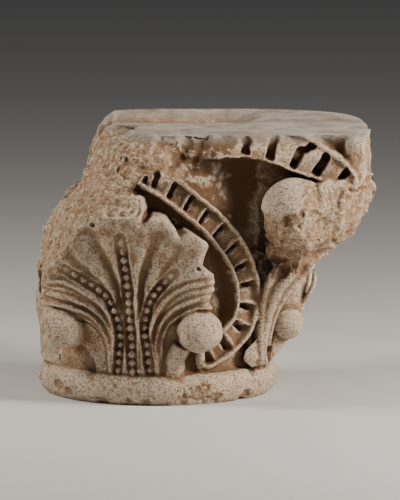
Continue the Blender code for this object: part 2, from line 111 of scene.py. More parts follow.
# %% Camera
AWAY, HALF_VIEW = 9000.0, 200.0
DISTANCE = AWAY * UP
LOOK_AT = Vector(place(42.0, 0.0, 139.93))
LIFT = math.radians(7.9)
turn = math.radians(BREAK_AZIMUTH)
lens = bpy.data.cameras.new("Camera")
lens.sensor_fit = "HORIZONTAL"
lens.angle = 2.0 * math.atan(HALF_VIEW / AWAY)
lens.clip_end = 100.0
camera = bpy.data.objects.new("Camera", lens)
bpy.context.scene.collection.objects.link(camera)
towards = Vector((math.sin(turn) * math.cos(LIFT), -math.cos(turn) * math.cos(LIFT), math.sin(LIFT)))
camera.location = LOOK_AT + towards * DISTANCE
camera.rotation_euler = (-towards).to_track_quat("-Z", "Y").to_euler()
bpy.context.scene.camera = camera
print("camera at", [round(value, 2) for value in camera.location])

# %% [markdown]
# ## Carving as a relief
#
# A carver draws routes on a turned drum and sinks the ground beside them. The same idea works on a
# mesh: a fine grid is rolled into a drum, and each point is moved in or out by a depth that comes
# from its distance to the drawn routes. It gives crisp ridges and soft flutes with no modelling by
# hand, and every line keeps a plain list of points that can be moved.

# %% Helpers for routes
def curve_through(points, steps=7):
    """A smooth route through the points, as a list of points."""
    ends = [points[0]] + list(points) + [points[-1]]
    route = []
    for before, start, end, after in zip(ends, ends[1:], ends[2:], ends[3:]):
        for step in range(steps):
            t = step / steps
            row = []
            for p0, p1, p2, p3 in zip(before, start, end, after):
                bend = (2 * p0 - 5 * p1 + 4 * p2 - p3) * t * t + (3 * p1 - p0 - 3 * p2 + p3) * t**3
                row.append(0.5 * (2 * p1 + (p2 - p0) * t + bend))
            route.append(tuple(row))
    route.append(tuple(points[-1]))
    return route


def nearest(route, azimuth, height, arc=ARC):
    """How far each place lies from the route, and how far along it, both in modules."""
    best = np.full(azimuth.shape, 1e9)
    along = np.zeros(azimuth.shape)
    passed = 0.0
    for (a0, z0), (a1, z1) in zip(route, route[1:]):
        da, dz = (a1 - a0) * arc, z1 - z0
        length = math.hypot(da, dz)
        from_a, from_z = (azimuth - a0) * arc, height - z0
        share = np.clip((from_a * da + from_z * dz) / length**2, 0.0, 1.0)
        gap = np.hypot(from_a - share * da, from_z - share * dz)
        closer = gap < best
        best = np.where(closer, gap, best)
        along = np.where(closer, passed + share * length, along)
        passed += length
    return best, along


def inside_by(outline, azimuth, height, arc=ARC):
    """How deep each place lies inside a closed outline, in modules; negative outside."""
    loop = list(outline) + [outline[0]]
    inside = np.zeros(azimuth.shape, bool)
    for (a0, z0), (a1, z1) in zip(loop, loop[1:]):
        if z0 != z1:
            spans = (z0 > height) != (z1 > height)
            inside ^= spans & (azimuth < a0 + (height - z0) * (a1 - a0) / (z1 - z0))
    gap = nearest(loop, azimuth, height, arc)[0]
    return np.where(inside, gap, -gap)


def hand_cut(azimuth, height):
    """The places as an unsteady hand cut them, off by a millimetre at most in slow waves."""
    sway = np.sin(height / 7.3 + azimuth / 3.1) + 0.7 * np.sin(height / 3.7 - azimuth / 1.6 + 1.0)
    rise = np.sin(azimuth / 2.6 + height / 9.1 + 2.0) + 0.7 * np.sin(azimuth / 1.3 - height / 5.2)
    return azimuth + 0.15 * sway, height + 0.34 * rise


square, middle = ((0, 0), (10, 0), (10, 10), (0, 10)), np.array([5.0])
print("the middle of a square of 10 lies", inside_by(square, middle, middle, 1.0)[0], "deep")

# %% [markdown]
# ## The plain body
#
# Under the carving lies a bell on a half-round ring. The bell turns into the block of the abacus at
# the top. The block keeps its true outline from above, which is straight in front and rounded at the
# back, and the lost corner is a cut face that leans back as it rises.

# %% Bell, ring, block and break
TOP_OUTLINE = (
    (28, 76), (80, 76), (130, 74), (160, 69), (190, 66), (204, 50), (209, 15), (206, -24), (200, -63),
    (183, -97), (150, -120), (97, -133), (30, -134), (-28, -133), (-66, -118), (-96, -72), (-108, 0),
    (-104, 62), (-70, 108), (-24, 122), (6, 100),
)
FRONT_BREAK = ((150, 190, 203, 235, 266), (170, 143, 126, 97, 80))
LEFT_BREAK = (
    (30, 100, 120, 145, 165, 183, 193, 199, 210, 230, 251, 262, 266),
    (119, 124, 124, 121, 113, 100, 88, 77, 74, 68, 62, 53, 46),
)
FRONT_SHOULDER = ((30, 120, 183, 211, 227, 248, 259, 266), (119, 124, 100, 74, 66.6, 55, 42, 22))
BLOCK_FOOT = ((-60, -12, 2, 8, 20, 66), (196, 200, 210, 224, 239, 239))
OUTLINE_RIGHT, OUTLINE_BACK = 210.0, 133.4
RING_SWELL = 15.0
BREAK_ROUNDING = 2.6


def bell(azimuth, height):
    """The plain ground behind the carving, with the thick uncarved cheek on its left."""
    reach = np.interp(height, (31, 70, 120, 200, 266), (106, 103, 99, 96, 97))
    cheek = np.interp(height, (31, 60, 100, 145, 180), (11, 14, 22, 24, 18))
    away = (azimuth % 360.0 - 278.0) / 34.0
    return reach + cheek * np.exp(-(away**4))


def ring(height):
    """The necking ring, as a radius at each height."""
    middle = 0.5 * RING_HEIGHT / UP
    outer = RING_RADIUS / OUT
    bulge = np.clip(1.0 - np.abs((height - middle) / (middle + 1.5)) ** 2.6, 0.0, 1.0) ** 0.5
    return outer - RING_SWELL + RING_SWELL * bulge


def top_outline(azimuth):
    """The reach of the block's outline at each azimuth."""
    smooth = curve_through(list(TOP_OUTLINE) + [TOP_OUTLINE[0]], 4)
    side, back = CORNER_REACH / OUT / OUTLINE_RIGHT, BACK_DEPTH / OUT / OUTLINE_BACK
    turns, reaches = [], []
    for across, ahead in smooth[:-1]:
        across, ahead = across * side, ahead * back
        turns.append((math.degrees(math.atan2(across, ahead)) + BREAK_AZIMUTH) % 360.0)
        reaches.append(math.hypot(across, ahead))
    order = np.argsort(turns)
    return np.interp(azimuth % 360.0, np.array(turns)[order], np.array(reaches)[order], period=360.0)


def block(azimuth, height):
    """The abacus block, which swells out of the bell on the right and at the back."""
    signed = (azimuth + 180.0) % 360.0 - 180.0
    behind = np.maximum(ease(66, 88, signed), ease(-60, -90, signed))
    foot = np.interp(signed, *BLOCK_FOOT)
    swell = ease(foot, foot + 6.0, height) * (1.0 - behind) + ease(112, 212, height) * behind
    return bell(azimuth, height) * (1.0 - swell) + top_outline(azimuth) * swell


def break_reach(azimuth, height):
    """How far the stone still reaches after the front left corner was lost."""
    ahead = np.interp(height, *FRONT_BREAK)
    aside = np.interp(height, *LEFT_BREAK)
    turned = (azimuth - BREAK_AZIMUTH + 180.0) % 360.0 - 180.0
    aside = aside + (np.interp(height, *FRONT_SHOULDER) - aside) * ease(-112, -84, turned)
    angle = np.radians(turned)
    front = np.clip(np.cos(angle), 0.0, None) / ahead
    left = np.clip(-np.sin(angle), 0.0, None) / aside
    both = front**BREAK_ROUNDING + left**BREAK_ROUNDING
    return 1.0 / np.maximum(both ** (1 / BREAK_ROUNDING), 1e-4)


print("the ring reaches", round(float(ring(0.5 * RING_HEIGHT / UP)) * OUT, 4), "m")

# %% [markdown]
# ## The palmette
#
# The leaf stands far out from the bell, so its lobed outline throws a dark shadow. From its foot rise
# three beaded stems, with ridges that curl over a ball on each side and wide flutes towards the
# lobes above. Each stem runs in a sunk channel. The beads come later, as separate bodies.

# %% Palmette
LEAF = (
    (16.5, 29), (18.5, 50), (19, 66), (21.5, 80), (26, 89), (32, 94), (38, 95.5), (41.5, 97), (39.5, 103),
    (38.5, 108), (40.8, 116), (40.3, 124), (39.8, 134), (34.6, 143), (35.5, 152), (36.9, 163), (35.7, 168),
    (30.3, 177), (24.9, 172), (24, 179), (20, 189), (16.5, 192), (12.5, 192), (9.4, 187), (9.5, 198),
    (8.4, 207), (3.2, 213), (-4, 212), (-12, 208), (-24, 202), (-36, 196), (-48, 180), (-54, 160),
    (-56, 140), (-54, 124), (-48, 116), (-51, 108), (-50, 98), (-44, 92), (-36, 91), (-27, 88),
    (-18, 78), (-13.5, 66), (-11.5, 50), (-10.5, 29),
)
CENTRE_ROW = ((2.9, 29), (2.6, 42), (2.4, 68), (1.7, 93), (1.3, 121), (0.3, 146), (-0.6, 169))
RIGHT_ROW = (
    (11.8, 29), (10.8, 46), (9.9, 60), (9, 75), (9.9, 90), (11.1, 101), (13.4, 111), (17.5, 122),
    (22.5, 134.5),
)
LEFT_ROW = (
    (-5.6, 29), (-4.5, 40), (-3.5, 58), (-3.2, 74), (-4.8, 89), (-6.6, 99), (-8.6, 107), (-11.8, 113),
    (-18.9, 124), (-28.6, 139),
)
RIDGES = (
    ((13.4, 29), (12.3, 45), (11.9, 67), (13.6, 86), (17.2, 102), (23, 114.5), (30, 122.5), (38.6, 125)),
    ((16.2, 29), (15.2, 45), (14.6, 61), (16.4, 80), (21.2, 94), (27, 103), (33.2, 108.5), (38.6, 109.5)),
    ((18.6, 29), (17.6, 49), (18, 66), (20.8, 83), (26, 91.5), (32, 96.5), (38.5, 97.5)),
    ((-7.4, 29), (-6.6, 45), (-6.1, 66), (-7.4, 85), (-11.7, 100), (-17.5, 110), (-26.5, 120.5),
     (-36, 121)),
    ((-8.9, 29), (-8.0, 45), (-7.5, 64), (-9.8, 82), (-15, 94), (-21, 101), (-29.5, 107.5), (-44.4, 109)),
    ((-10.6, 29), (-9.6, 45), (-9.3, 60), (-11.2, 72), (-14.8, 84), (-19.6, 91), (-26.5, 96), (-35, 97),
     (-45, 97)),
)
FLUTES = (
    (((6.4, 76), (7.1, 100), (8.2, 123), (10.0, 140), (12.6, 158), (14.4, 172)), 1.8, 10.0, 6.0),
    (((-0.8, 76), (-1.9, 98), (-4.3, 121), (-7.4, 140), (-11.6, 160), (-13.6, 172)), 1.8, 10.0, 6.4),
    (((-4.6, 97), (-7.2, 110), (-12.2, 122), (-18.6, 136), (-24.4, 152), (-26.8, 160)), 1.4, 9.0, 4.4),
    (((11.0, 108), (14.4, 121), (19.2, 139), (25.0, 158)), 1.0, 8.0, 2.5),
)
BALLS = ((34.6, 75.5, 1.0), (-31.6, 74.5, 0.955))
BALL_OUT = 126.0
LEAF_BREAK = (
    (100, 105, 110, 118, 126, 133, 146, 158, 173, 194, 204, 209, 214),
    (-58, -50, -43.7, -37.7, -29.0, -28.3, -25.9, -23.6, -20.2, -11, -6.2, 2, 12),
)
CURLS = (
    ((15, 29), (16, 50), (17, 66), (20, 82), (28, 92), (34, 92), (32, 70), (28, 52), (24, 42), (22, 29)),
    ((-9, 29), (-10, 50), (-12, 66), (-17, 80), (-24, 88), (-34, 90), (-32, 66), (-26, 54), (-21, 44),
     (-18, 29)),
)


def leaf_level(azimuth, height):
    """The leaf's face without its relief, in modules."""
    level = np.interp(height, (30, 75, 120, 165, 210), (116, 119, 125, 134, 144))
    return level + 15.0 * ease(12, 36, np.abs(azimuth - 2.5)) * ease(60, 92, height)


def leaf_is_broken(azimuth, height):
    """Where the leaf's face was struck off, up and left of a slanting line, from 0 to 1."""
    line = np.interp(height, *LEAF_BREAK)
    return ease(1.6, -1.6, azimuth - line) * ease(98, 106, height)


def sink_flutes(reach, azimuth, height):
    """Sinks the flutes, which widen and fade towards the lobes."""
    for route, narrow, wide, sink in FLUTES:
        gap, along = nearest(curve_through(route, 4), azimuth, height)
        width = narrow + (wide - narrow) * along / along.max()
        fading = ease(0, 22, along) * (0.3 + 0.7 * ease(0, 40, along.max() - along))
        reach -= sink * ease(width, 0.0, gap) * fading


def raise_ridges(reach, azimuth, height):
    """Raises the ridges, each with a groove on both sides."""
    for route in RIDGES:
        gap, along = nearest(curve_through(route, 4), azimuth, height)
        swell = 0.65 + 0.35 * ease(0, 60, along)
        reach += (4.4 * ease(4.2, 0.2, gap) - 2.0 * ease(7.5, 4.0, gap)) * swell


def sink_channels(reach, azimuth, height):
    """Sinks the three channels for the beads, each between two low rims."""
    for route, half in ((CENTRE_ROW, 5.0), (RIGHT_ROW, 4.4), (LEFT_ROW, 4.4)):
        gap = nearest(curve_through(route, 4), azimuth, height)[0]
        to_end = np.hypot((azimuth - route[-1][0]) * ARC, height - route[-1][1])
        fading = 0.25 + 0.75 * ease(5.0, 18.0, to_end)
        channel = 1.4 * ease(half + 3.0, half + 1.4, gap) - 6.2 * ease(half + 1.4, half - 0.2, gap)
        reach += channel * fading


def with_curls(reach, cover, level, azimuth, height):
    """Adds the outer curls of the leaf, which lie lower and run on to the balls."""
    for outline in CURLS:
        inside = ease(-1.0, 3.0, inside_by(outline, azimuth, height)) * (1.0 - cover)
        reach += (level - 4.5 - reach) * inside
        cover = np.maximum(cover, inside)
    return reach, cover


def with_balls(reach, cover, azimuth, height):
    """Adds the ball on each side of the leaf."""
    for ball_at, ball_up, size in BALLS:
        radius = size * BALL_RADIUS / OUT
        gap = np.hypot((azimuth - ball_at) * ARC, height - ball_up)
        ball = BALL_OUT + np.sqrt(np.clip(radius**2 - gap**2, 0.0, None))
        inside = ease(radius + 1.0, radius - 0.6, gap)
        reach = reach * (1.0 - inside) + ball * inside
        cover = np.maximum(cover, inside)
    return reach, cover


def palmette(azimuth, height):
    """How far the leaf reaches out, and where it covers the bell, from 0 to 1."""
    depth = inside_by(LEAF, azimuth, height)
    cover = ease(-1.2, 1.6, depth)
    level = leaf_level(azimuth, height)
    reach = level - 3.0 * ease(7.0, 0.5, depth)
    sink_flutes(reach, azimuth, height)
    raise_ridges(reach, azimuth, height)
    sink_channels(reach, azimuth, height)
    reach += (level + 1.5 - reach) * leaf_is_broken(azimuth, height)
    reach, cover = with_curls(reach, cover, level, azimuth, height)
    return with_balls(reach, cover, azimuth, height)


print("leaf: an outline of", len(LEAF), "points,", len(RIDGES), "ridges and", len(FLUTES), "flutes")

# %% [markdown]
# ## The ladder band
#
# Two rims hold a row of broad bars, each rising towards its lower edge like a roof slate. A narrow
# slot parts one from the next, and a hole was drilled at both ends of every slot before it was cut.

# %% Ladder band
BAND = ((9, 229), (20, 218), (33.5, 198), (46, 176), (57, 147), (62.8, 113), (61, 84), (54.5, 65), (42, 49))
SLOTS = (
    (5, 230), (14, 222), (23.5, 215), (32.5, 202), (40.5, 187), (48.4, 172), (55.4, 154), (60.2, 135),
    (62.3, 116), (61.2, 95), (57.1, 79), (50.1, 64), (40, 47),
)
HOLE_RADIUS, HOLE_DEPTH = 2.9, 11.0


def ladder(azimuth, height):
    """How far the pierced band reaches out, and where it covers the bell."""
    route = curve_through(BAND, 4)
    gap, along = nearest(route, azimuth, height)
    slots = np.array(SLOTS, float)
    slot_along = np.sort(nearest(route, slots[:, 0], slots[:, 1])[1])
    half = 0.5 * BAND_WIDTH / OUT
    rim = BAND_RIM / OUT
    deep = BAND_DEPTH / OUT
    face = np.interp(azimuth, (0, 25, 45, 60, 75), (107, 110, 114, 121, 130))
    in_rim = ease(half - 1.35 * rim, half - 0.85 * rim, gap)
    which = np.clip(np.searchsorted(slot_along, along) - 1, 0, len(slot_along) - 2)
    since = along - slot_along[which]
    pitch = slot_along[which + 1] - slot_along[which]
    from_slot = np.minimum(np.abs(since), np.abs(pitch - since))
    panel = 0.50 + 0.10 * ease(0.2, 0.6, since / pitch) + 0.30 * ease(0.58, 0.78, since / pitch)
    on_bar = ease(1.7, 3.3, from_slot) * panel
    reach = face - deep + deep * np.maximum(in_rim, on_bar)
    reach += 1.6 * ease(0.5 * rim + 0.6, 0.0, np.abs(gap - half + 0.5 * rim))
    hole = np.hypot(gap - (half - 1.35 * rim - 0.7 * HOLE_RADIUS), from_slot)
    reach -= HOLE_DEPTH * ease(HOLE_RADIUS + 0.5, HOLE_RADIUS - 0.9, hole)
    return reach, ease(half + 1.0, half - 0.8, gap)


def carved_reach(azimuth, height):
    """The stone's radius in modules at each azimuth and height."""
    reach = block(azimuth, height)
    front = np.abs(azimuth) < 66.0
    for shape, near in ((palmette, front), (ladder, (azimuth > -4.0) & (azimuth < 84.0))):
        found, cover = shape(*hand_cut(azimuth[near], height[near]))
        old = reach[near]
        reach[near] = np.maximum(old, old + (found - old) * cover)
    reach = np.minimum(reach, break_reach(azimuth, height))
    foot = ease(RING_HEIGHT / UP + 1.6, RING_HEIGHT / UP - 0.6, height)
    return reach * (1.0 - foot) + ring(height) * foot


print("ladder band:", len(SLOTS), "slots with a hole at both ends")

# %% [markdown]
# ## Rolling the drum
#
# The grid primitive is the sheet that gets rolled. Its middle rows become the side of the drum, and
# its outer rows close in as the top and the underside. The worn hollow in the top is pressed in last.
# An operator acts on all that is selected, so a helper selects one shape alone before each.

# %% Helpers for meshes
def only(shape):
    """Selects the shape alone and makes it the active one."""
    bpy.ops.object.select_all(action="DESELECT")
    shape.select_set(True)
    bpy.context.view_layer.objects.active = shape


def coordinates(shape, what="co"):
    """The points or normals of a mesh as an array."""
    values = np.empty(len(shape.data.vertices) * 3)
    shape.data.vertices.foreach_get(what, values)
    return values.reshape(-1, 3)


def move_points(shape, points):
    """Puts the points of a mesh where the array says."""
    shape.data.vertices.foreach_set("co", points.ravel())
    shape.data.update()


WELD_GAP = 0.00002


def welded(shape):
    """Closes the seams of a shape and turns its faces outwards."""
    only(shape)
    bpy.ops.object.mode_set(mode="EDIT")
    bpy.ops.mesh.select_all(action="SELECT")
    bpy.ops.mesh.remove_doubles(threshold=WELD_GAP)
    bpy.ops.mesh.normals_make_consistent(inside=False)
    bpy.ops.object.mode_set(mode="OBJECT")
    return shape


# %% The drum
COLUMNS, ROW_HEIGHT, CAP_ROWS = ((1000, 0.8, 60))


def top_hollow(across, ahead):
    """How deep the worn hollow behind the front edge of the top goes, in modules."""
    valley = ease(-16, -40, ahead) * ease(-138, -92, ahead)
    return (TOP_HOLLOW_DEPTH / UP + SPARE) * valley * ease(112, 60, across)


def turned_drum():
    """A grid rolled into a drum, with its points moved to the carved reach."""
    low, high = -SPARE, TOP + SPARE
    rows = int((high - low) / ROW_HEIGHT)
    bpy.ops.mesh.primitive_grid_add(x_subdivisions=COLUMNS, y_subdivisions=rows + 2 * CAP_ROWS)
    drum = bpy.context.object
    points = coordinates(drum)
    azimuth = np.round((points[:, 0] + 1.0) * 0.5 * COLUMNS) * 360.0 / COLUMNS - 90.0
    row = np.round((points[:, 1] + 1.0) * 0.5 * (rows + 2 * CAP_ROWS)) - CAP_ROWS
    height = low + (high - low) * np.clip(row / rows, 0.0, 1.0)
    share = np.clip(np.minimum(1.0 + row / CAP_ROWS, 1.0 + (rows - row) / CAP_ROWS), 0.0, 1.0)
    reach = carved_reach(azimuth, np.clip(height, 0.5, TOP)) * share
    x = reach * np.sin(np.radians(azimuth))
    y = -reach * np.cos(np.radians(azimuth))
    across, ahead = in_break_frame(x, y)
    height = height - top_hollow(across, ahead) * ease(TOP - 30.0, TOP, height)
    move_points(drum, np.column_stack((x * OUT, y * OUT, height * UP)))
    return drum


bpy.ops.object.select_all(action="DESELECT")
drum = welded(turned_drum())
print("drum:", len(drum.data.vertices), "points")

# %% [markdown]
# ## The upper band
#
# Seen from the front, the second band is a curved strip right under the top, cut by slots like the
# first. It is a flat relief and not a turned one, so it gets its own sheet: a grid that faces the
# break, whose points are moved forwards. Its border runs back into the stone and is closed there.

# %% Upper band
LOWER_RIM = (
    (14, 226), (22, 237), (34, 239), (54, 243.4), (70, 244.9), (89, 244.7), (109, 240.4), (120, 237),
    (134, 230.6), (148, 226), (162, 221.5), (176, 217.5), (193, 213),
)
UPPER_RIM = (
    (118, 275), (132, 267.5), (145, 264), (157, 258), (176, 246.5), (187.5, 236), (195.5, 226), (195, 214),
)
UPPER_SLOTS = (
    ((88, 259), (86.5, 247.5), 1.6, 5.0), ((115.5, 262), (111.0, 244.5), 2.6, 4.6),
    ((141, 250), (134, 236.5), 4.0, 3.6), ((154.5, 256.5), (147, 251), 3.2, 2.8),
    ((166, 244), (156.5, 228.5), 3.6, 4.0), ((187, 230), (178.5, 219.5), 3.2, 3.2),
)
BOSS_AT, BOSS_RADIUS, BOSS_BACK = (197.0, 254.0), 14.0, 66.0
SHEET_BACK = 30.0
SHEET_ACROSS, SHEET_UP = (-6.0, 212.0), (205.0, TOP + SPARE)


def upper_slots(front, across, height):
    """Cuts the slots of the strip, which widen to one end and have a hole at both."""
    for start, end, narrow, wide in UPPER_SLOTS:
        gap, along = nearest((start, end), across, height, 1.0)
        width = narrow + (wide - narrow) * along / along.max()
        front = front - 13.0 * ease(width + 0.8, width - 0.8, gap)
        for spot in (start, end):
            hole = np.hypot(across - spot[0], height - spot[1])
            front = front - 5.0 * ease(wide + 0.6, wide - 0.6, hole)
    return front


def with_boss(front, across, height):
    """Adds the round boss at the right end, with a straight neck under it."""
    above = np.clip(height - BOSS_AT[1], 0, None)
    swell = np.sqrt(np.clip(BOSS_RADIUS**2 - (across - BOSS_AT[0]) ** 2 - above**2, 0, None))
    boss = BOSS_BACK + swell
    return np.where(boss > BOSS_BACK, np.maximum(front, boss), front)


def upper_front(across, height):
    """How far the strip under the top reaches forwards, in modules."""
    across, height = hand_cut(across, height)
    low = np.interp(across, *zip(*curve_through(LOWER_RIM, 4)))
    face = 79.0 + 13.0 * ease(TOP, 243.0, height) - 0.06 * np.clip(across - 120.0, 0.0, None)
    to_low = nearest(LOWER_RIM, across, height, 1.0)[0]
    to_high = nearest(UPPER_RIM, across, height, 1.0)[0]
    rim_across, rim_up = np.array(UPPER_RIM[:-1]).T
    beyond = across > np.interp(-height, -rim_up, rim_across)
    front = upper_slots(face - 1.5, across, height)
    front = front + (face + 2.0 - front) * ease(4.2, 2.0, to_low) * ease(40, 56, across)
    recess = 68.0 + 5.0 * ease(252, TOP, height)
    front = np.where(beyond, recess, front)
    front = front + (face + 1.0 - front) * ease(3.6, 1.6, to_high)
    front = with_boss(front, across, height) - 6.0 * ease(58, 38, across)
    sunk = ease(low - 2.8, low - 0.6, height) * ease(SHEET_ACROSS[0], 30.0, across) ** 0.5
    end = ease(SHEET_ACROSS[1] - 0.5, SHEET_ACROSS[1] - 9.0, across)
    rounded = np.sqrt(1.0 - (1.0 - end) ** 2)
    return SHEET_BACK + 1.0 + (front - SHEET_BACK - 1.0) * sunk * rounded


def relief_sheet():
    """A grid that stands square to the break, with its border closed behind."""
    step = 0.85
    columns = int((SHEET_ACROSS[1] - SHEET_ACROSS[0]) / step)
    rows = int((SHEET_UP[1] - SHEET_UP[0]) / step)
    bpy.ops.mesh.primitive_grid_add(x_subdivisions=columns, y_subdivisions=rows)
    sheet = bpy.context.object
    points = coordinates(sheet)
    border = np.abs(points[:, :2]).max(axis=1) > 0.9999
    across = SHEET_ACROSS[0] + (points[:, 0] + 1.0) * 0.5 * (SHEET_ACROSS[1] - SHEET_ACROSS[0])
    height = SHEET_UP[0] + (points[:, 1] + 1.0) * 0.5 * (SHEET_UP[1] - SHEET_UP[0])
    ahead = np.where(border, SHEET_BACK, upper_front(across, np.minimum(height, TOP)))
    move_points(sheet, np.column_stack(place(across, ahead, height)))
    bpy.ops.object.mode_set(mode="EDIT")
    bpy.ops.mesh.select_all(action="DESELECT")
    bpy.ops.mesh.select_non_manifold()
    bpy.ops.mesh.edge_face_add()
    bpy.ops.object.mode_set(mode="OBJECT")
    return welded(sheet)


bpy.ops.object.select_all(action="DESELECT")
sheet = relief_sheet()
print("upper band:", len(sheet.data.vertices), "points")

# %% [markdown]
# ## The right corner
#
# The corner was a volute with a big ball, and under it a leaf with a smaller ball. Most of the volute
# is broken, which leaves a mass with facets. A convex hull over a few points gives such a chipped
# block at once, and its points can sit right on the outline that the photograph shows.

# %% Lumps, hulls and stems
def ball(name, centre, radii):
    """A rounded lump; centre and radii in modules along the break frame."""
    bpy.ops.object.select_all(action="DESELECT")
    bpy.ops.mesh.primitive_uv_sphere_add(segments=64, ring_count=40, radius=1.0, location=place(*centre))
    lump = bpy.context.object
    lump.name = name
    lump.rotation_euler.z = math.radians(BREAK_AZIMUTH)
    lump.scale = (radii[0] * OUT, radii[1] * OUT, radii[2] * UP)
    return lump


def hull(name, corners):
    """A faceted lump, as the convex hull over its corner points."""
    work = bmesh.new()
    for corner in corners:
        work.verts.new(place(*corner))
    found = bmesh.ops.convex_hull(work, input=work.verts)
    loose = [item for item in found["geom_interior"] if isinstance(item, bmesh.types.BMVert)]
    bmesh.ops.delete(work, geom=loose, context="VERTS")
    mesh = bpy.data.meshes.new(name)
    work.to_mesh(mesh)
    work.free()
    lump = bpy.data.objects.new(name, mesh)
    bpy.context.scene.collection.objects.link(lump)
    return welded(lump)


def rod(name, route, thick, thin=None):
    """A round rod through the route; thick and thin are its end radii in modules."""
    curve = bpy.data.curves.new(name, "CURVE")
    curve.dimensions = "3D"
    curve.bevel_depth = OUT
    curve.bevel_resolution = 4
    curve.use_fill_caps = True
    spline = curve.splines.new("POLY")
    spline.points.add(len(route) - 1)
    for index, (point, step) in enumerate(zip(spline.points, route)):
        share = index / (len(route) - 1)
        point.co = (*place(*step), 1.0)
        point.radius = thick + ((thin or thick) - thick) * share
    holder = bpy.data.objects.new(name, curve)
    bpy.context.scene.collection.objects.link(holder)
    only(holder)
    bpy.ops.object.convert(target="MESH")
    return welded(bpy.context.object)


def struck(shape, through, facing):
    """Strikes a flat chip off a shape; the place and the facing are along the break frame."""
    only(shape)
    bpy.ops.object.transform_apply(location=True, rotation=True, scale=True)
    bpy.ops.object.mode_set(mode="EDIT")
    bpy.ops.mesh.select_all(action="SELECT")
    out_of_chip = Vector(place(*facing)).normalized()
    bpy.ops.mesh.bisect(plane_co=place(*through), plane_no=out_of_chip, use_fill=True, clear_outer=True)
    bpy.ops.object.mode_set(mode="OBJECT")
    return shape


# %% [markdown]
# ## The pieces of the corner
#
# Each list holds the corners of one lump. The outermost ones lie on the stone's outline, and the ones
# ahead set how far the lump comes forwards. The three stems are tapered rods, because a carver leaves
# them round. The big ball is a sphere with two flat chips struck off.

# %% The corner's pieces
BROKEN_MASS = (
    (206, 50, 227), (215, 46, 223.5), (219.5, 44, 216), (220, 40, 205), (216.5, 44, 196), (209, 48, 181),
    (201, 50, 167), (194, 52, 160), (184, 56, 152.5), (172, 60, 148.5), (149, 113, 213), (144.5, 121, 200),
    (145, 121, 182), (146, 110, 158), (184, 90, 221), (197, 82, 208), (186, 98, 190), (180, 90, 168),
    (150, 90, 150), (140, 60, 150), (205, -12, 222), (207, -12, 200), (180, -10, 165), (150, 0, 150),
    (150, 0, 225), (150, 80, 222),
)
UNDER_MASS = (
    (176, 58, 152), (164, 58, 139), (156, 52, 130), (118, 72, 141), (104, 76, 141), (108, 80, 158),
    (124, 92, 162), (150, 100, 170), (136, 84, 122), (122, 76, 126), (150, 66, 124), (120, 40, 130),
    (150, 20, 140), (170, 10, 160), (108, 60, 170),
)
BALL_FOOT = (
    (103, 92, 182), (101.5, 92, 174), (106, 92, 164), (112, 90, 153), (118, 122, 191), (146, 124, 191),
    (112, 115, 180), (120, 119, 171), (144, 117, 168), (120, 107, 158), (147, 103, 155), (151, 113, 181),
    (130, 127, 187), (104, 68, 175), (112, 66, 158), (152, 70, 155),
)
LEAF_BACK = (
    (156, 34, 131), (154.5, 36, 112), (151, 38, 106), (146, 42, 94), (144, 44, 84), (140, 46, 69),
    (130, 50, 58), (121, 52, 46), (112, 54, 34), (104, 44, 34), (108, 54, 60), (122, 58, 95),
    (140, 56, 130), (96, 48, 60), (98, 52, 110), (90, 50, 150), (80, 30, 34), (80, 10, 150),
    (110, 0, 40), (125, 0, 80), (140, -5, 130),
)
LEAF_RIM = ((156, 44, 128), (155, 48, 114), (150.5, 48, 104), (145.5, 46, 95))
LEAF_LOBE = (
    (122, 48, 92), (126, 50, 104), (140, 45, 116), (150, 42, 113), (147, 42, 99), (136, 46, 90),
    (124, 50, 88), (130, 24, 100), (142, 24, 106),
)
FOOT = (
    (96, 60, 30), (113, 42, 30), (110, 56, 44), (102, 66, 48), (97, 70, 60), (93, 72, 44), (100, 30, 34),
)
LOW_LOBE = (
    (98, 74, 62), (86, 80, 50), (84, 78, 40), (94, 70, 30), (102, 66, 33), (99, 74, 45), (90, 50, 40),
)
LEFT_STEM = (
    (102, 64, 34), (102, 68, 48), (102, 71, 64), (104, 74, 84.6), (108, 76, 105), (114, 78, 125),
    (124, 82, 142),
)
MIDDLE_STEM = (
    (106, 56, 34), (104, 63, 46), (105, 68, 62.7), (108, 72, 81.4), (114, 76, 100), (122, 78, 116),
    (136, 82, 134),
)
RIGHT_STEM = (
    (109, 56, 52), (110, 62, 62), (112.5, 65, 76.4), (118, 70, 93), (128, 73, 109.7), (139, 74, 125),
    (152, 74, 139),
)
STEMS = ((LEFT_STEM, 4.2, 6.6), (MIDDLE_STEM, 4.2, 8.2), (RIGHT_STEM, 3.4, 7.4))
CORNER_BALL_AT = (135, 96, 192)
BALL_CHIPS = (((142, 125, 200), (0.85, 0.5, -0.15)), ((125, 127, 189), (0.08, 0.72, -0.69)))
LEAF_BALL_AT, LEAF_BALL_RADIUS = (127.5, 46, 74), 0.8 * BALL_RADIUS / OUT

corner = [hull("mass", BROKEN_MASS), hull("under_mass", UNDER_MASS), hull("leaf_back", LEAF_BACK)]
corner += [hull("leaf_lobe", LEAF_LOBE), hull("foot", FOOT), hull("low_lobe", LOW_LOBE)]
corner_ball = ball("corner_ball", CORNER_BALL_AT, [CORNER_BALL_RADIUS / OUT] * 3)
for through, facing in BALL_CHIPS:
    struck(corner_ball, through, facing)
corner += [corner_ball, hull("ball_foot", BALL_FOOT)]
corner.append(ball("leaf_ball", LEAF_BALL_AT, [LEAF_BALL_RADIUS] * 3))
corner.append(rod("leaf_rim", curve_through(LEAF_RIM, 4), 3.2, 3.0))
for route, low_radius, high_radius in STEMS:
    corner.append(rod("stem", curve_through(route, 4), low_radius, high_radius))

# %% [markdown]
# ## Beads
#
# A bead is a small ball pressed into its channel. One bead is modelled and copied along the three
# stems at an even pitch, and each copy is worn down by a little, some more than others.

# %% Beads
BEAD_PITCH = 8.7
BEAD_SEAT, BEAD_OUT = 3.8, 4.4


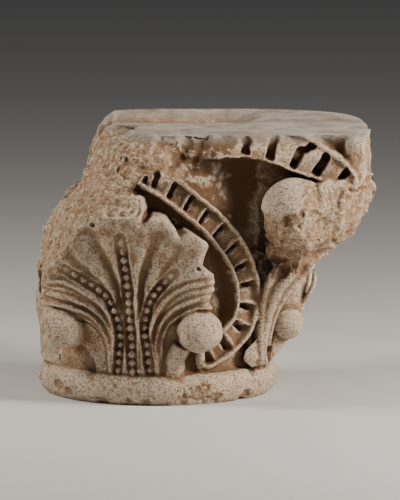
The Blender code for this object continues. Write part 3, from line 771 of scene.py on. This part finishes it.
def on_face(azimuth, height, reach):
    """A point in metres from its azimuth, height and reach."""
    angle = math.radians(azimuth)
    return (reach * OUT * math.sin(angle), -reach * OUT * math.cos(angle), height * UP)


def walk(route, pitch, start=4.0):
    """Places at an even pitch along a route of azimuths and heights."""
    places, wanted, passed = [], start, 0.0
    smooth = curve_through(route, 6)
    for (a0, z0), (a1, z1) in zip(smooth, smooth[1:]):
        length = math.hypot((a1 - a0) * ARC, z1 - z0)
        while wanted <= passed + length:
            share = (wanted - passed) / length
            tilt = math.atan2((a1 - a0) * ARC, z1 - z0)
            places.append((a0 + (a1 - a0) * share, z0 + (z1 - z0) * share, tilt))
            wanted += pitch
        passed += length
    return places


def bead_mesh():
    """One bead, a little flattened, of a few dozen faces."""
    bpy.ops.object.select_all(action="DESELECT")
    bpy.ops.mesh.primitive_uv_sphere_add(segments=14, ring_count=9, radius=1.0)
    return bpy.context.object


def string_beads(route, wide, tall, start):
    """Copies of the bead along a route, each with its own mesh."""
    beads = []
    first = bead_mesh()
    for index, (azimuth, height, tilt) in enumerate(walk(route, BEAD_PITCH, start)):
        bead = first.copy()
        bead.data = first.data.copy()
        bpy.context.scene.collection.objects.link(bead)
        wear = 0.88 + 0.12 * math.sin(2.3 * index + 7.0 * start)
        bead.location = on_face(azimuth, height, float(leaf_level(azimuth, height)) - BEAD_SEAT)
        bead.rotation_euler = (0.0, tilt, math.radians(azimuth))
        bead.scale = (wide * OUT * wear, BEAD_OUT * OUT * wear, tall * UP)
        beads.append(bead)
    bpy.data.objects.remove(first)
    return beads


bead_rows = string_beads(CENTRE_ROW, 4.1, 3.9, 5.0)
bead_rows += string_beads(RIGHT_ROW, 3.4, 3.5, 7.0) + string_beads(LEFT_ROW, 3.4, 3.5, 6.0)
print("beads:", len(bead_rows))

# %% [markdown]
# ## Stalks
#
# Under the leaf's right ball two short stalks leave an arched recess between them. They are rods
# again, but their routes follow the bell, so they are given by azimuth, height and reach.

# %% Stalks under the ball
STALKS = (
    (((23.6, 29, 105), (24.0, 38, 107), (24.6, 48, 110), (27.5, 60, 114)), 12.0, 10.5),
    (((39.5, 29, 104), (38.2, 42, 108), (37.0, 54, 112)), 5.5, 5.5),
)


def face_rod(name, route, thick, thin):
    """A rod whose route is given as azimuth, height and reach."""
    steps = []
    for azimuth, height, reach in curve_through(route, 4):
        angle = math.radians(azimuth - BREAK_AZIMUTH)
        steps.append((reach * math.sin(angle), reach * math.cos(angle), height))
    return rod(name, steps, thick, thin)


stalks = [face_rod("stalk", *stalk) for stalk in STALKS]
print("stalks:", len(stalks))

# %% [markdown]
# ## Fusing
#
# A voxel remesh melts the overlapping bodies into one closed skin, as they are one stone. A boolean
# union of so many bodies could fail on faces that nearly touch, and the remesh can't. Its grid is fine
# enough for the beads.

# %% Join and remesh
VOXEL = 0.00115


def join(shapes, name):
    """Joins the shapes into one object at the origin."""
    bpy.ops.object.select_all(action="DESELECT")
    for shape in shapes:
        shape.select_set(True)
    bpy.context.view_layer.objects.active = shapes[0]
    bpy.ops.object.transform_apply(location=True, rotation=True, scale=True)
    bpy.ops.object.join()
    joined = bpy.context.object
    joined.name = name
    return joined


def apply_modifier(shape, kind, **settings):
    """Adds a modifier, sets it and applies it."""
    only(shape)
    modifier = shape.modifiers.new(kind.title(), kind)
    for name, value in settings.items():
        setattr(modifier, name, value)
    bpy.ops.object.modifier_apply(modifier=modifier.name)


stone = join([drum, sheet] + corner + bead_rows + stalks, "carved_capital")
apply_modifier(stone, "REMESH", mode="VOXEL", voxel_size=VOXEL)
print("fused:", len(stone.data.vertices), "points")

# %% [markdown]
# ## Wear
#
# The noise is sampled at each point in metres, so the wear has a real size: broad hollows of some
# centimetres, chips of a centimetre and a grain of a few millimetres. The noise that tilts the facets
# starts from the clock unless its seed is set, so it is set here, and every run gives the same stone.

# %% Helpers for wear
noise.seed_set(7)


def edges_of(shape):
    """The two point numbers of every edge."""
    edges = np.empty(len(shape.data.edges) * 2, int)
    shape.data.edges.foreach_get("vertices", edges)
    return edges.reshape(-1, 2)


def smoothed(values, edges, rounds):
    """Values averaged over neighbouring points, several times."""
    count = np.bincount(edges.ravel(), minlength=len(values)).astype(float)[:, None]
    for _ in range(rounds):
        total = np.zeros_like(values)
        for column in range(values.shape[1]):
            total[:, column] = np.bincount(edges[:, 0], values[edges[:, 1], column], len(values))
            total[:, column] += np.bincount(edges[:, 1], values[edges[:, 0], column], len(values))
        values = 0.3 * values + 0.7 * total / count
    return values


def fractal(points, grain, octaves=3, seed=0.0, fall=0.9):
    """Fractal noise at each point; grain is its coarsest size in metres."""
    shift = Vector((seed, -seed, 0.5 * seed))
    return np.array([noise.fractal(Vector(point) / grain + shift, fall, 2.1, octaves) for point in points])


def facets(points, size):
    """How far each place stands out, in metres, on flat chips that each tilt their own way."""
    lifts = []
    for point in points:
        spot = Vector(point) / size
        centre = noise.voronoi(spot)[1][0]
        lifts.append((spot - centre).dot(noise.noise_vector(centre * 3.7)) * size)
    return np.array(lifts)


def pocks(points, spacing):
    """Small round holes at random; how near each place is to the middle of one, from 0 to 1."""
    nearest_hole = [noise.voronoi(Vector(point) / spacing)[0][0] for point in points]
    return np.clip(1.0 - 4.5 * np.array(nearest_hole), 0.0, None)


print("fractal noise at the origin:", np.round(fractal(np.zeros((1, 3)), 0.01)[0], 3))

# %% [markdown]
# ## Where the stone is broken
#
# The rough places are the lost front left corner, the upper left of the leaf, the corner around its
# ball, the left end of the upper band and the plate under the corner. Each is found from the places
# and routes above, so a rough area stays with its break when a size changes.

# %% Rough places
def off_the_ball(across, ahead, height):
    """0 on the smooth part of the corner's ball and 1 elsewhere."""
    ball_across, ball_ahead, ball_up = CORNER_BALL_AT
    squares = (across - ball_across) ** 2 + (ahead - ball_ahead) ** 2 + (height - ball_up) ** 2
    off_sphere = ease(0.8, 2.4, np.abs(np.sqrt(squares) - CORNER_BALL_RADIUS / OUT))
    return np.maximum(off_sphere, np.maximum(ease(138, 146, across), ease(197, 188, height)))


def broken_share(points):
    """How much of each place is a rough break, from 0 to 1; points in metres."""
    across, ahead = in_break_frame(points[:, 0] / OUT, points[:, 1] / OUT)
    height = points[:, 2] / UP
    azimuth = np.degrees(np.arctan2(points[:, 0], -points[:, 1]))
    reach = np.hypot(across, ahead)
    lost = ease(3.5, 1.0, np.abs(reach - break_reach(azimuth, height))) * ease(140, 60, across)
    leaf = leaf_is_broken(azimuth, height) * (np.abs(azimuth) < 64.0) * ease(103, 109, reach)
    struck_off = np.maximum(ease(34, 62, ahead), ease(150, 165, across)) * ease(97, 104, across)
    corner_part = off_the_ball(across, ahead, height) * struck_off
    corner_part = corner_part * ease(116, 130, height) * ease(228, 217, height)
    left_band = ease(62, 46, across) * ease(-30, -10, across)
    left_band = left_band * ease(222, 231, height) * ease(54, 68, ahead)
    plate = 0.7 * ease(98, 106, across) * ease(40, 26, ahead)
    plate = plate * ease(34, 42, height) * ease(150, 130, height)
    share = np.maximum.reduce((lost, leaf, corner_part, left_band, plate))
    share = share * ease(TOP + 2.5, TOP - 1.0, height)
    edge = 0.35 * ease(185, 200, across) * ease(222, 232, height) * ease(TOP + 0.5, TOP - 3.0, height)
    ring_grain = 0.14 * ease(33, 26, height)
    return np.maximum(share, np.maximum(edge, ring_grain))


print("rough share of the stone:", broken_share(coordinates(stone)).mean().round(3))

# %% [markdown]
# ## Roughening the breaks and sinking the pits
#
# Every point moves along its normal, by one number that is summed up in steps: a grain all over and
# rounded edges, rough breaks, dents in the edge of the top, drilled pits and chips out of the ring.
# Almost all of it goes inwards, as stone only gets lost. The noise that stands for a break has broad
# hollows, flat facets, small grain and pocks, because noise of one size looks like clay.

# %% Pits and chips
PITS = (
    (-8.9, 243, 3.4), (-5.0, 243, 3.0), (-10, 233, 2.2), (-12.3, 181, 3.2), (32.1, 139.5, 2.8),
    (-36.5, 109, 3.0), (-33.5, 108.5, 2.6), (33.2, 109, 1.4), (35.6, 109, 1.4), (-47.5, 41, 1.6),
    (-47.2, 38, 1.6), (-40, 190, 2.6), (24.8, 181, 2.2), (-25, 215, 2.0),
)
PIT_DEPTH = 0.0042
CHIPS = (
    (-41, 14, 9.0, 4.0), (-34, 8, 7.0, 3.0), (-5.4, 20, 5.0, 2.0), (36, 10, 16.0, 6.0),
    (28, 5, 10.0, 5.0), (45, 6, 10.0, 4.0), (10, 3, 7.0, 3.0), (1, 4, 5.0, 3.5), (-14, 3, 9.0, 3.0),
    (64, 4, 10.0, 5.0), (-70, 4, 14.0, 4.0), (70, 27, 7.0, 2.5), (-20, 29, 8.0, 1.8),
    (120, 5, 16.0, 5.0), (190, 4, 20.0, 5.0), (240, 28, 14.0, 4.0), (160, 24, 9.0, 3.0),
)


def sink_pits(sink, azimuth, height):
    """Sinks the small pits and holes of the front."""
    front = (np.abs(azimuth - BREAK_AZIMUTH) < 100.0) & (height > -1.0)
    for pit_at, pit_up, radius in PITS:
        gap = np.hypot((azimuth - pit_at) * ARC, height - pit_up)
        sink -= PIT_DEPTH * ease(radius, 0.3 * radius, gap) * front


def sink_chips(sink, points, azimuth, height):
    """Sinks the chips of the ring, with a ragged edge."""
    for chip_at, chip_up, wide, deep in CHIPS:
        away = (azimuth - chip_at + 180.0) % 360.0 - 180.0
        gap = np.hypot(away * ARC / wide, (height - chip_up) / (0.7 * wide))
        near = np.flatnonzero((gap < 1.6) & (height < 33.0))
        edge = gap[near] + 0.45 * fractal(points[near], 0.012, 3, 5.0)
        sink[near] -= deep * OUT * 0.55 * ease(1.15, 0.3, edge)


print("pits:", len(PITS), "chips:", len(CHIPS))

# %% Roughen and round
EDGE_ROUNDS = 6


def roughen(sink, points, share):
    """Adds the broad hollows, grain, facets and pocks of the breaks."""
    rough = np.flatnonzero(share > 0.02)
    coarse = fractal(points[rough], 0.042, 3, 1.0, 0.8)
    grainy = fractal(points[rough], 0.0100, 3, 4.0, 0.3)
    flaked = facets(points[rough], 0.030)
    pocked = np.clip(pocks(points[rough], 0.013) * (0.9 + 0.8 * coarse), 0.0, 1.0)
    lift = 0.0048 * (coarse - 0.4) + 0.0016 * grainy + 0.22 * flaked - 0.0040 * pocked
    sink[rough] += share[rough] * lift


def dent_top_edge(sink, points, height):
    """Adds small dents along the front edge of the top."""
    near_top = np.flatnonzero((height > TOP - 9.0) & (points[:, 1] < 0.05))
    dents = np.clip(fractal(points[near_top], 0.016, 4, 8.0, 0.7) - 0.22, 0.0, None)
    sink[near_top] -= 0.0022 * dents * ease(TOP - 9.0, TOP - 1.0, height[near_top])


def wear(shape):
    """Rounds the edges of the fused stone, then moves its points in by noise, pits and chips."""
    points, normals = coordinates(shape), coordinates(shape, "normal")
    stands_out = np.einsum("ij,ij->i", points - smoothed(points, edges_of(shape), EDGE_ROUNDS), normals)
    azimuth = np.degrees(np.arctan2(points[:, 0], -points[:, 1]))
    height = points[:, 2] / UP
    uneven = fractal(points, 0.011, 4, 3.0, 0.7)
    rounding = np.clip(stands_out, 0.0, None) * np.clip(0.75 + 0.6 * uneven, 0.2, 1.3)
    sink = 0.00040 * (uneven - 1.1) - rounding
    roughen(sink, points, broken_share(points))
    sink = smoothed(sink[:, None], edges_of(shape), 2)[:, 0]
    dent_top_edge(sink, points, height)
    sink_pits(sink, azimuth, height)
    sink_chips(sink, points, azimuth, height)
    move_points(shape, points + normals * sink[:, None])
    print("moved by", np.abs(sink).mean().round(5), "m on average")


wear(stone)

# %% [markdown]
# ## Flat beds
#
# The top and the underside are dressed flat: a point past either is set on it, and what was sunk
# lower stays. The mesh is then reduced to the triangles that one piece may have. That can lift a
# point by a hair, so the beds are dressed once more.

# %% Dress the beds and reduce
MOST_TRIANGLES = 196000


def level_beds(shape):
    """Dresses the top and the underside flat, and leaves what was sunk lower than them."""
    points = coordinates(shape)
    points[:, 2] = np.clip(points[:, 2], 0.0, HEIGHT)
    move_points(shape, points)


def triangle_count(shape):
    """How many triangles the faces of a shape make."""
    shape.data.calc_loop_triangles()
    return len(shape.data.loop_triangles)


level_beds(stone)
apply_modifier(stone, "DECIMATE", ratio=min(1.0, MOST_TRIANGLES / triangle_count(stone)))
level_beds(stone)
print("finished stone:", triangle_count(stone), "triangles")

# %% [markdown]
# ## Where shade and dirt are painted and where stone is worn
#
# Painted shade with some dirt goes where the sky can't be seen. For each point a few rays are sent out, and
# the share that hits the stone nearby says how hidden it is. Edges are found by smoothing the mesh and
# seeing which points stood proud. Both go into a colour attribute with the broken share, as red, green and
# blue, and the material reads it. Painted shade also darkens the back left, which has a little soot too,
# and the recess under the top.

# %% Hidden places and edges
RAY_REACH = 0.055


def hidden_share(shape, rays):
    """How much of the sky is hidden at each point, from 0 to 1."""
    graph = bpy.context.evaluated_depsgraph_get()
    tree = BVHTree.FromObject(shape, graph)
    points, normals = coordinates(shape), coordinates(shape, "normal")
    draw = np.random.default_rng(7)
    rays_out = draw.normal(size=(rays, 3))
    rays_out /= np.linalg.norm(rays_out, axis=1)[:, None]
    hidden = np.zeros(len(points))
    for ray in rays_out:
        ways = normals * 1.05 + ray
        ways /= np.linalg.norm(ways, axis=1)[:, None]
        starts = points + normals * 0.0004
        casts = zip(map(Vector, starts), map(Vector, ways))
        hits = [tree.ray_cast(start, way, RAY_REACH)[3] for start, way in casts]
        hidden += np.array([0.0 if hit is None else 1.0 - 0.6 * hit / RAY_REACH for hit in hits])
    return hidden / rays


def painted_shade_zones(points):
    """How much painted shade darkens the back left, which has a little soot too, and the recess under the
    top, from 0 to 1.
    """
    across, ahead = in_break_frame(points[:, 0] / OUT, points[:, 1] / OUT)
    height = points[:, 2] / UP
    patchy = 0.9 + 0.25 * fractal(points, 0.045, 3, 9.0)
    # Painted shade on the back left, with a little soot, and painted shade in the recess under the top.
    back_left_shade = 0.42 * patchy * ease(0, -50, ahead) * ease(50, -50, across)
    furthest = np.interp(height, (196, 208), (106, 114))
    recess = ease(12, 34, across) * ease(146, 124, across) * ease(150, 176, height)
    recess_shade = 0.50 * recess * (np.hypot(across, ahead) < furthest) * ease(0, 20, ahead)
    return np.maximum(back_left_shade, recess_shade)


def paint(shape):
    """Writes hidden, proud and broken shares into a colour attribute."""
    edges = edges_of(shape)
    points, normals = coordinates(shape), coordinates(shape, "normal")
    proud = np.einsum("ij,ij->i", points - smoothed(points, edges, 6), normals)
    hidden = hidden_share(shape, 20)[:, None]
    hidden = smoothed(hidden, edges, 6)[:, 0]
    broken = broken_share(points)
    colours = np.ones((len(points), 4))
    # Red is painted shade with some dirt: where the sky is hidden, on the back left and in the recess under
    # the top.
    colours[:, 0] = np.clip(np.maximum(hidden, painted_shade_zones(points)), 0.0, 1.0)
    colours[:, 1] = np.clip(0.5 + proud * (1.0 - 0.6 * broken) / 0.0011, 0.0, 1.0)
    colours[:, 2] = broken
    layer = shape.data.color_attributes.new("weathering", "FLOAT_COLOR", "POINT")
    layer.data.foreach_set("color", colours.ravel())
    print("hidden", hidden.mean().round(3), "proud", np.abs(proud).mean().round(6))


paint(stone)

# %% [markdown]
# ## Limestone
#
# The stone is warm beige with orange and brown stains, painted shade and dirt in the hollows, pale worn
# edges and a greyer, smoother top. Small pits give it a speckle. Dark pores on the breaks are painted shade
# of pits. Each of these is its own mix in the shader, on coordinates that belong to the stone, so the
# pattern stays put from every side.

# %% Helpers for nodes
class StoneNodes:
    """The few kinds of node that the stone needs, in one material."""

    def __init__(self, material):
        self.tree = material.node_tree
        self.place_on = self.tree.nodes.new("ShaderNodeTexCoord").outputs["Object"]
        parts = self.tree.nodes.new("ShaderNodeSeparateXYZ")
        self.feed(parts.inputs["Vector"], self.place_on)
        self.height = parts.outputs["Z"]

    def feed(self, socket, value):
        """Links a socket to another node, or sets it to a number or a colour."""
        if isinstance(value, (int, float)):
            socket.default_value = value
        elif isinstance(value, tuple):
            socket.default_value = (*value, 1.0)
        else:
            self.tree.links.new(value, socket)

    def noise(self, scale, detail, roughness=0.55, where=None):
        """A noise pattern on the stone's own coordinates."""
        node = self.tree.nodes.new("ShaderNodeTexNoise")
        for name, value in (("Scale", scale), ("Detail", detail), ("Roughness", roughness)):
            self.feed(node.inputs[name], value)
        self.feed(node.inputs["Vector"], where or self.place_on)
        return node.outputs["Fac"]

    def band(self, value, low, high, start=0.0, end=1.0):
        """A soft step from start to end, as the value goes from low to high."""
        node = self.tree.nodes.new("ShaderNodeMapRange")
        node.interpolation_type = "SMOOTHSTEP"
        for name, number in (("From Min", low), ("From Max", high), ("To Min", start), ("To Max", end)):
            self.feed(node.inputs[name], number)
        self.feed(node.inputs["Value"], value)
        return node.outputs["Result"]

    def sum_of(self, kind, first, second):
        """Two values added or multiplied."""
        node = self.tree.nodes.new("ShaderNodeMath")
        node.operation = kind
        self.feed(node.inputs[0], first)
        self.feed(node.inputs[1], second)
        return node.outputs["Value"]

    def mixed(self, share, base, colour):
        """The base colour with a share of another colour over it."""
        node = self.tree.nodes.new("ShaderNodeMix")
        node.data_type = "RGBA"
        for name, value in (("Factor", share), ("A", base), ("B", colour)):
            self.feed(node.inputs[name], value)
        return node.outputs["Result"]


print("node helpers:", [name for name in vars(StoneNodes) if not name.startswith("_")])

# %% Colours of the stone
BEIGE, OCHRE, BROWN_STAIN = (0.43, 0.31, 0.205), (0.36, 0.225, 0.13), (0.36, 0.185, 0.08)
PALE, RUST, BRIGHT_GRAIN = (0.60, 0.48, 0.36), (0.41, 0.25, 0.135), (0.80, 0.71, 0.58)
# The first colour on the next line is painted shade with some dirt, for the hollows; the second is painted
# shade with some dirt, for the grooves.
DIRT, GROOVE_DIRT, WORN_EDGE = (0.105, 0.052, 0.024), (0.155, 0.085, 0.045), (0.70, 0.59, 0.46)
# The second colour on the next line paints the shade of small pits on the breaks.
SPECKLE, PORE_DIRT = (0.15, 0.082, 0.042), (0.13, 0.068, 0.035)
TOP_GREY, TOP_BROWN, SCRATCH = (0.40, 0.37, 0.33), (0.25, 0.215, 0.18), (0.10, 0.075, 0.055)


def bare_stone(nodes, broken):
    """Beige stone with ochre and brown stains, pale patches, rust on the breaks and bright grain."""
    colour = nodes.mixed(nodes.band(nodes.noise(11.0, 4.0), 0.38, 0.66), BEIGE, OCHRE)
    stains = nodes.band(nodes.noise(34.0, 5.0, 0.65), 0.5, 0.70, 0.0, 0.65)
    colour = nodes.mixed(stains, colour, BROWN_STAIN)
    colour = nodes.mixed(nodes.band(nodes.noise(58.0, 4.0), 0.42, 0.80, 0.0, 0.50), colour, PALE)
    rust = nodes.sum_of("MULTIPLY", broken, nodes.band(nodes.noise(75.0, 3.0), 0.36, 0.74, 0.0, 0.42))
    colour = nodes.mixed(rust, colour, RUST)
    return nodes.mixed(nodes.band(nodes.noise(340.0, 2.0), 0.56, 0.70, 0.0, 0.24), colour, BRIGHT_GRAIN)


def shaded_and_weathered(nodes, colour, hidden, proud, broken):
    """Painted shade and dirt in hollows and grooves, pale worn edges, dark speckles, and dark pores as
    painted pit shade.
    """
    # Painted shade with some dirt in the hollows, where the sky is hidden.
    colour = nodes.mixed(nodes.band(hidden, 0.18, 0.58, 0.0, 0.92), colour, DIRT)
    # Painted shade with some dirt in the grooves, where the surface lies below its neighbours.
    colour = nodes.mixed(nodes.band(proud, 0.49, 0.20, 0.0, 0.45), colour, GROOVE_DIRT)
    colour = nodes.mixed(nodes.band(proud, 0.54, 0.80, 0.0, 0.60), colour, WORN_EDGE)
    speckle = nodes.band(nodes.noise(400.0, 3.0, 0.75), 0.49, 0.60, 0.0, 0.78)
    colour = nodes.mixed(speckle, colour, SPECKLE)
    # Dark pores on the breaks, painted shade of small pits.
    holes = nodes.band(nodes.noise(150.0, 4.0, 0.8), 0.56, 0.64)
    holes = nodes.sum_of("MULTIPLY", holes, nodes.band(broken, 0.0, 1.0, 0.35, 0.8))
    return nodes.mixed(holes, colour, PORE_DIRT)


def grey_top(nodes, colour):
    """A greyer top with brown patches and long dark scratches."""
    top = nodes.band(nodes.height, 0.2860, 0.2992, 0.0, 0.8)
    patches = nodes.band(nodes.noise(26.0, 5.0), 0.42, 0.64)
    colour = nodes.mixed(top, colour, nodes.mixed(patches, TOP_GREY, TOP_BROWN))
    drawn = nodes.tree.nodes.new("ShaderNodeMapping")
    drawn.inputs["Scale"].default_value = (30.0, 150.0, 4.0)
    nodes.feed(drawn.inputs["Vector"], nodes.place_on)
    scratches = nodes.band(nodes.noise(1.0, 3.0, 0.5, drawn.outputs["Vector"]), 0.60, 0.68, 0.0, 0.8)
    return nodes.mixed(nodes.sum_of("MULTIPLY", top, scratches), colour, SCRATCH)


def fine_relief(nodes):
    """The grain and pores that are too fine for the mesh, smoother on the top."""
    pores = nodes.tree.nodes.new("ShaderNodeTexVoronoi")
    pores.inputs["Scale"].default_value = 420.0
    nodes.feed(pores.inputs["Vector"], nodes.place_on)
    pits = nodes.sum_of("MULTIPLY", nodes.band(pores.outputs["Distance"], 0.12, 0.42), 0.35)
    relief = nodes.sum_of("ADD", nodes.noise(210.0, 5.0, 0.7), pits)
    lift = nodes.sum_of("MULTIPLY", relief, nodes.band(nodes.height, 0.2930, 0.2995, 1.0, 0.45))
    bump = nodes.tree.nodes.new("ShaderNodeBump")
    bump.inputs["Strength"].default_value = 0.85
    bump.inputs["Distance"].default_value = 0.0016
    nodes.feed(bump.inputs["Height"], lift)
    return bump.outputs["Normal"]


print("colours of the stone: from", BEIGE, "to", DIRT)

# %% Limestone material
def limestone():
    """The stone's material, from noise, pores and the colour attribute of painted shade and wear."""
    material = bpy.data.materials.new("limestone_shaded_and_worn")
    material.use_nodes = True
    nodes = StoneNodes(material)
    shader = nodes.tree.nodes["Principled BSDF"]
    shader.inputs["Metallic"].default_value = 0.0
    shader.inputs["Specular IOR Level"].default_value = 0.25
    painted = nodes.tree.nodes.new("ShaderNodeVertexColor")
    painted.layer_name = "weathering"
    split = nodes.tree.nodes.new("ShaderNodeSeparateColor")
    nodes.feed(split.inputs["Color"], painted.outputs["Color"])
    hidden, proud, broken = split.outputs["Red"], split.outputs["Green"], split.outputs["Blue"]
    colour = shaded_and_weathered(nodes, bare_stone(nodes, broken), hidden, proud, broken)
    nodes.feed(shader.inputs["Base Color"], grey_top(nodes, colour))
    nodes.feed(shader.inputs["Roughness"], nodes.band(nodes.noise(70.0, 3.0), 0.3, 0.7, 0.80, 0.97))
    nodes.feed(shader.inputs["Normal"], fine_relief(nodes))
    return material


stone.data.materials.clear()
stone.data.materials.append(limestone())
only(stone)
bpy.ops.object.shade_smooth_by_angle(angle=math.radians(50.0))
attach(stone, "root")
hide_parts("capital")
print("material on:", stone.name)

# %% [markdown]
# ## Floor and light
#
# The stone stands on a plain pale floor. Two soft lamps, one from the left and one from the right,
# make the relief read as in the photograph. A weak lamp in front and a weak sky fill the shadows.

# %% Floor, lamps and sky
bpy.ops.object.select_all(action="DESELECT")
bpy.ops.mesh.primitive_plane_add(size=12.0, location=(0.0, 0.0, 0.0))
floor = bpy.context.object
floor.name = "floor"
paper = bpy.data.materials.new("floor_paper")
paper.use_nodes = True
paper.node_tree.nodes["Principled BSDF"].inputs["Base Color"].default_value = (0.62, 0.61, 0.60, 1.0)
paper.node_tree.nodes["Principled BSDF"].inputs["Roughness"].default_value = 0.9
floor.data.materials.append(paper)


def lamp(name, azimuth, lift, distance, size, power, colour=(1.0, 1.0, 1.0)):
    """A square soft lamp that looks at the middle of the stone."""
    light = bpy.data.lights.new(name, "AREA")
    light.size = size
    light.energy = power
    light.color = colour
    holder = bpy.data.objects.new(name, light)
    bpy.context.scene.collection.objects.link(holder)
    angle, up = math.radians(azimuth), math.radians(lift)
    middle = Vector((0.04, 0.0, 0.15))
    way = Vector((math.sin(angle) * math.cos(up), -math.cos(angle) * math.cos(up), math.sin(up)))
    holder.location = middle + way * distance
    holder.rotation_euler = (-way).to_track_quat("-Z", "Y").to_euler()
    return holder


WARM = (1.0, 0.93, 0.84)
lamp("key", -68.0, 36.0, 1.6, 0.45, 21.0, WARM)
lamp("right", 84.0, 28.0, 1.6, 0.45, 40.0, WARM)
lamp("front", 15.0, 52.0, 2.4, 1.4, 2.5)
world = bpy.data.worlds.new("studio")
world.use_nodes = True
world.node_tree.nodes["Background"].inputs["Color"].default_value = (0.80, 0.84, 0.90, 1.0)
world.node_tree.nodes["Background"].inputs["Strength"].default_value = 0.06
bpy.context.scene.world = world
print("lamps:", len(bpy.data.lights))

# %% [markdown]
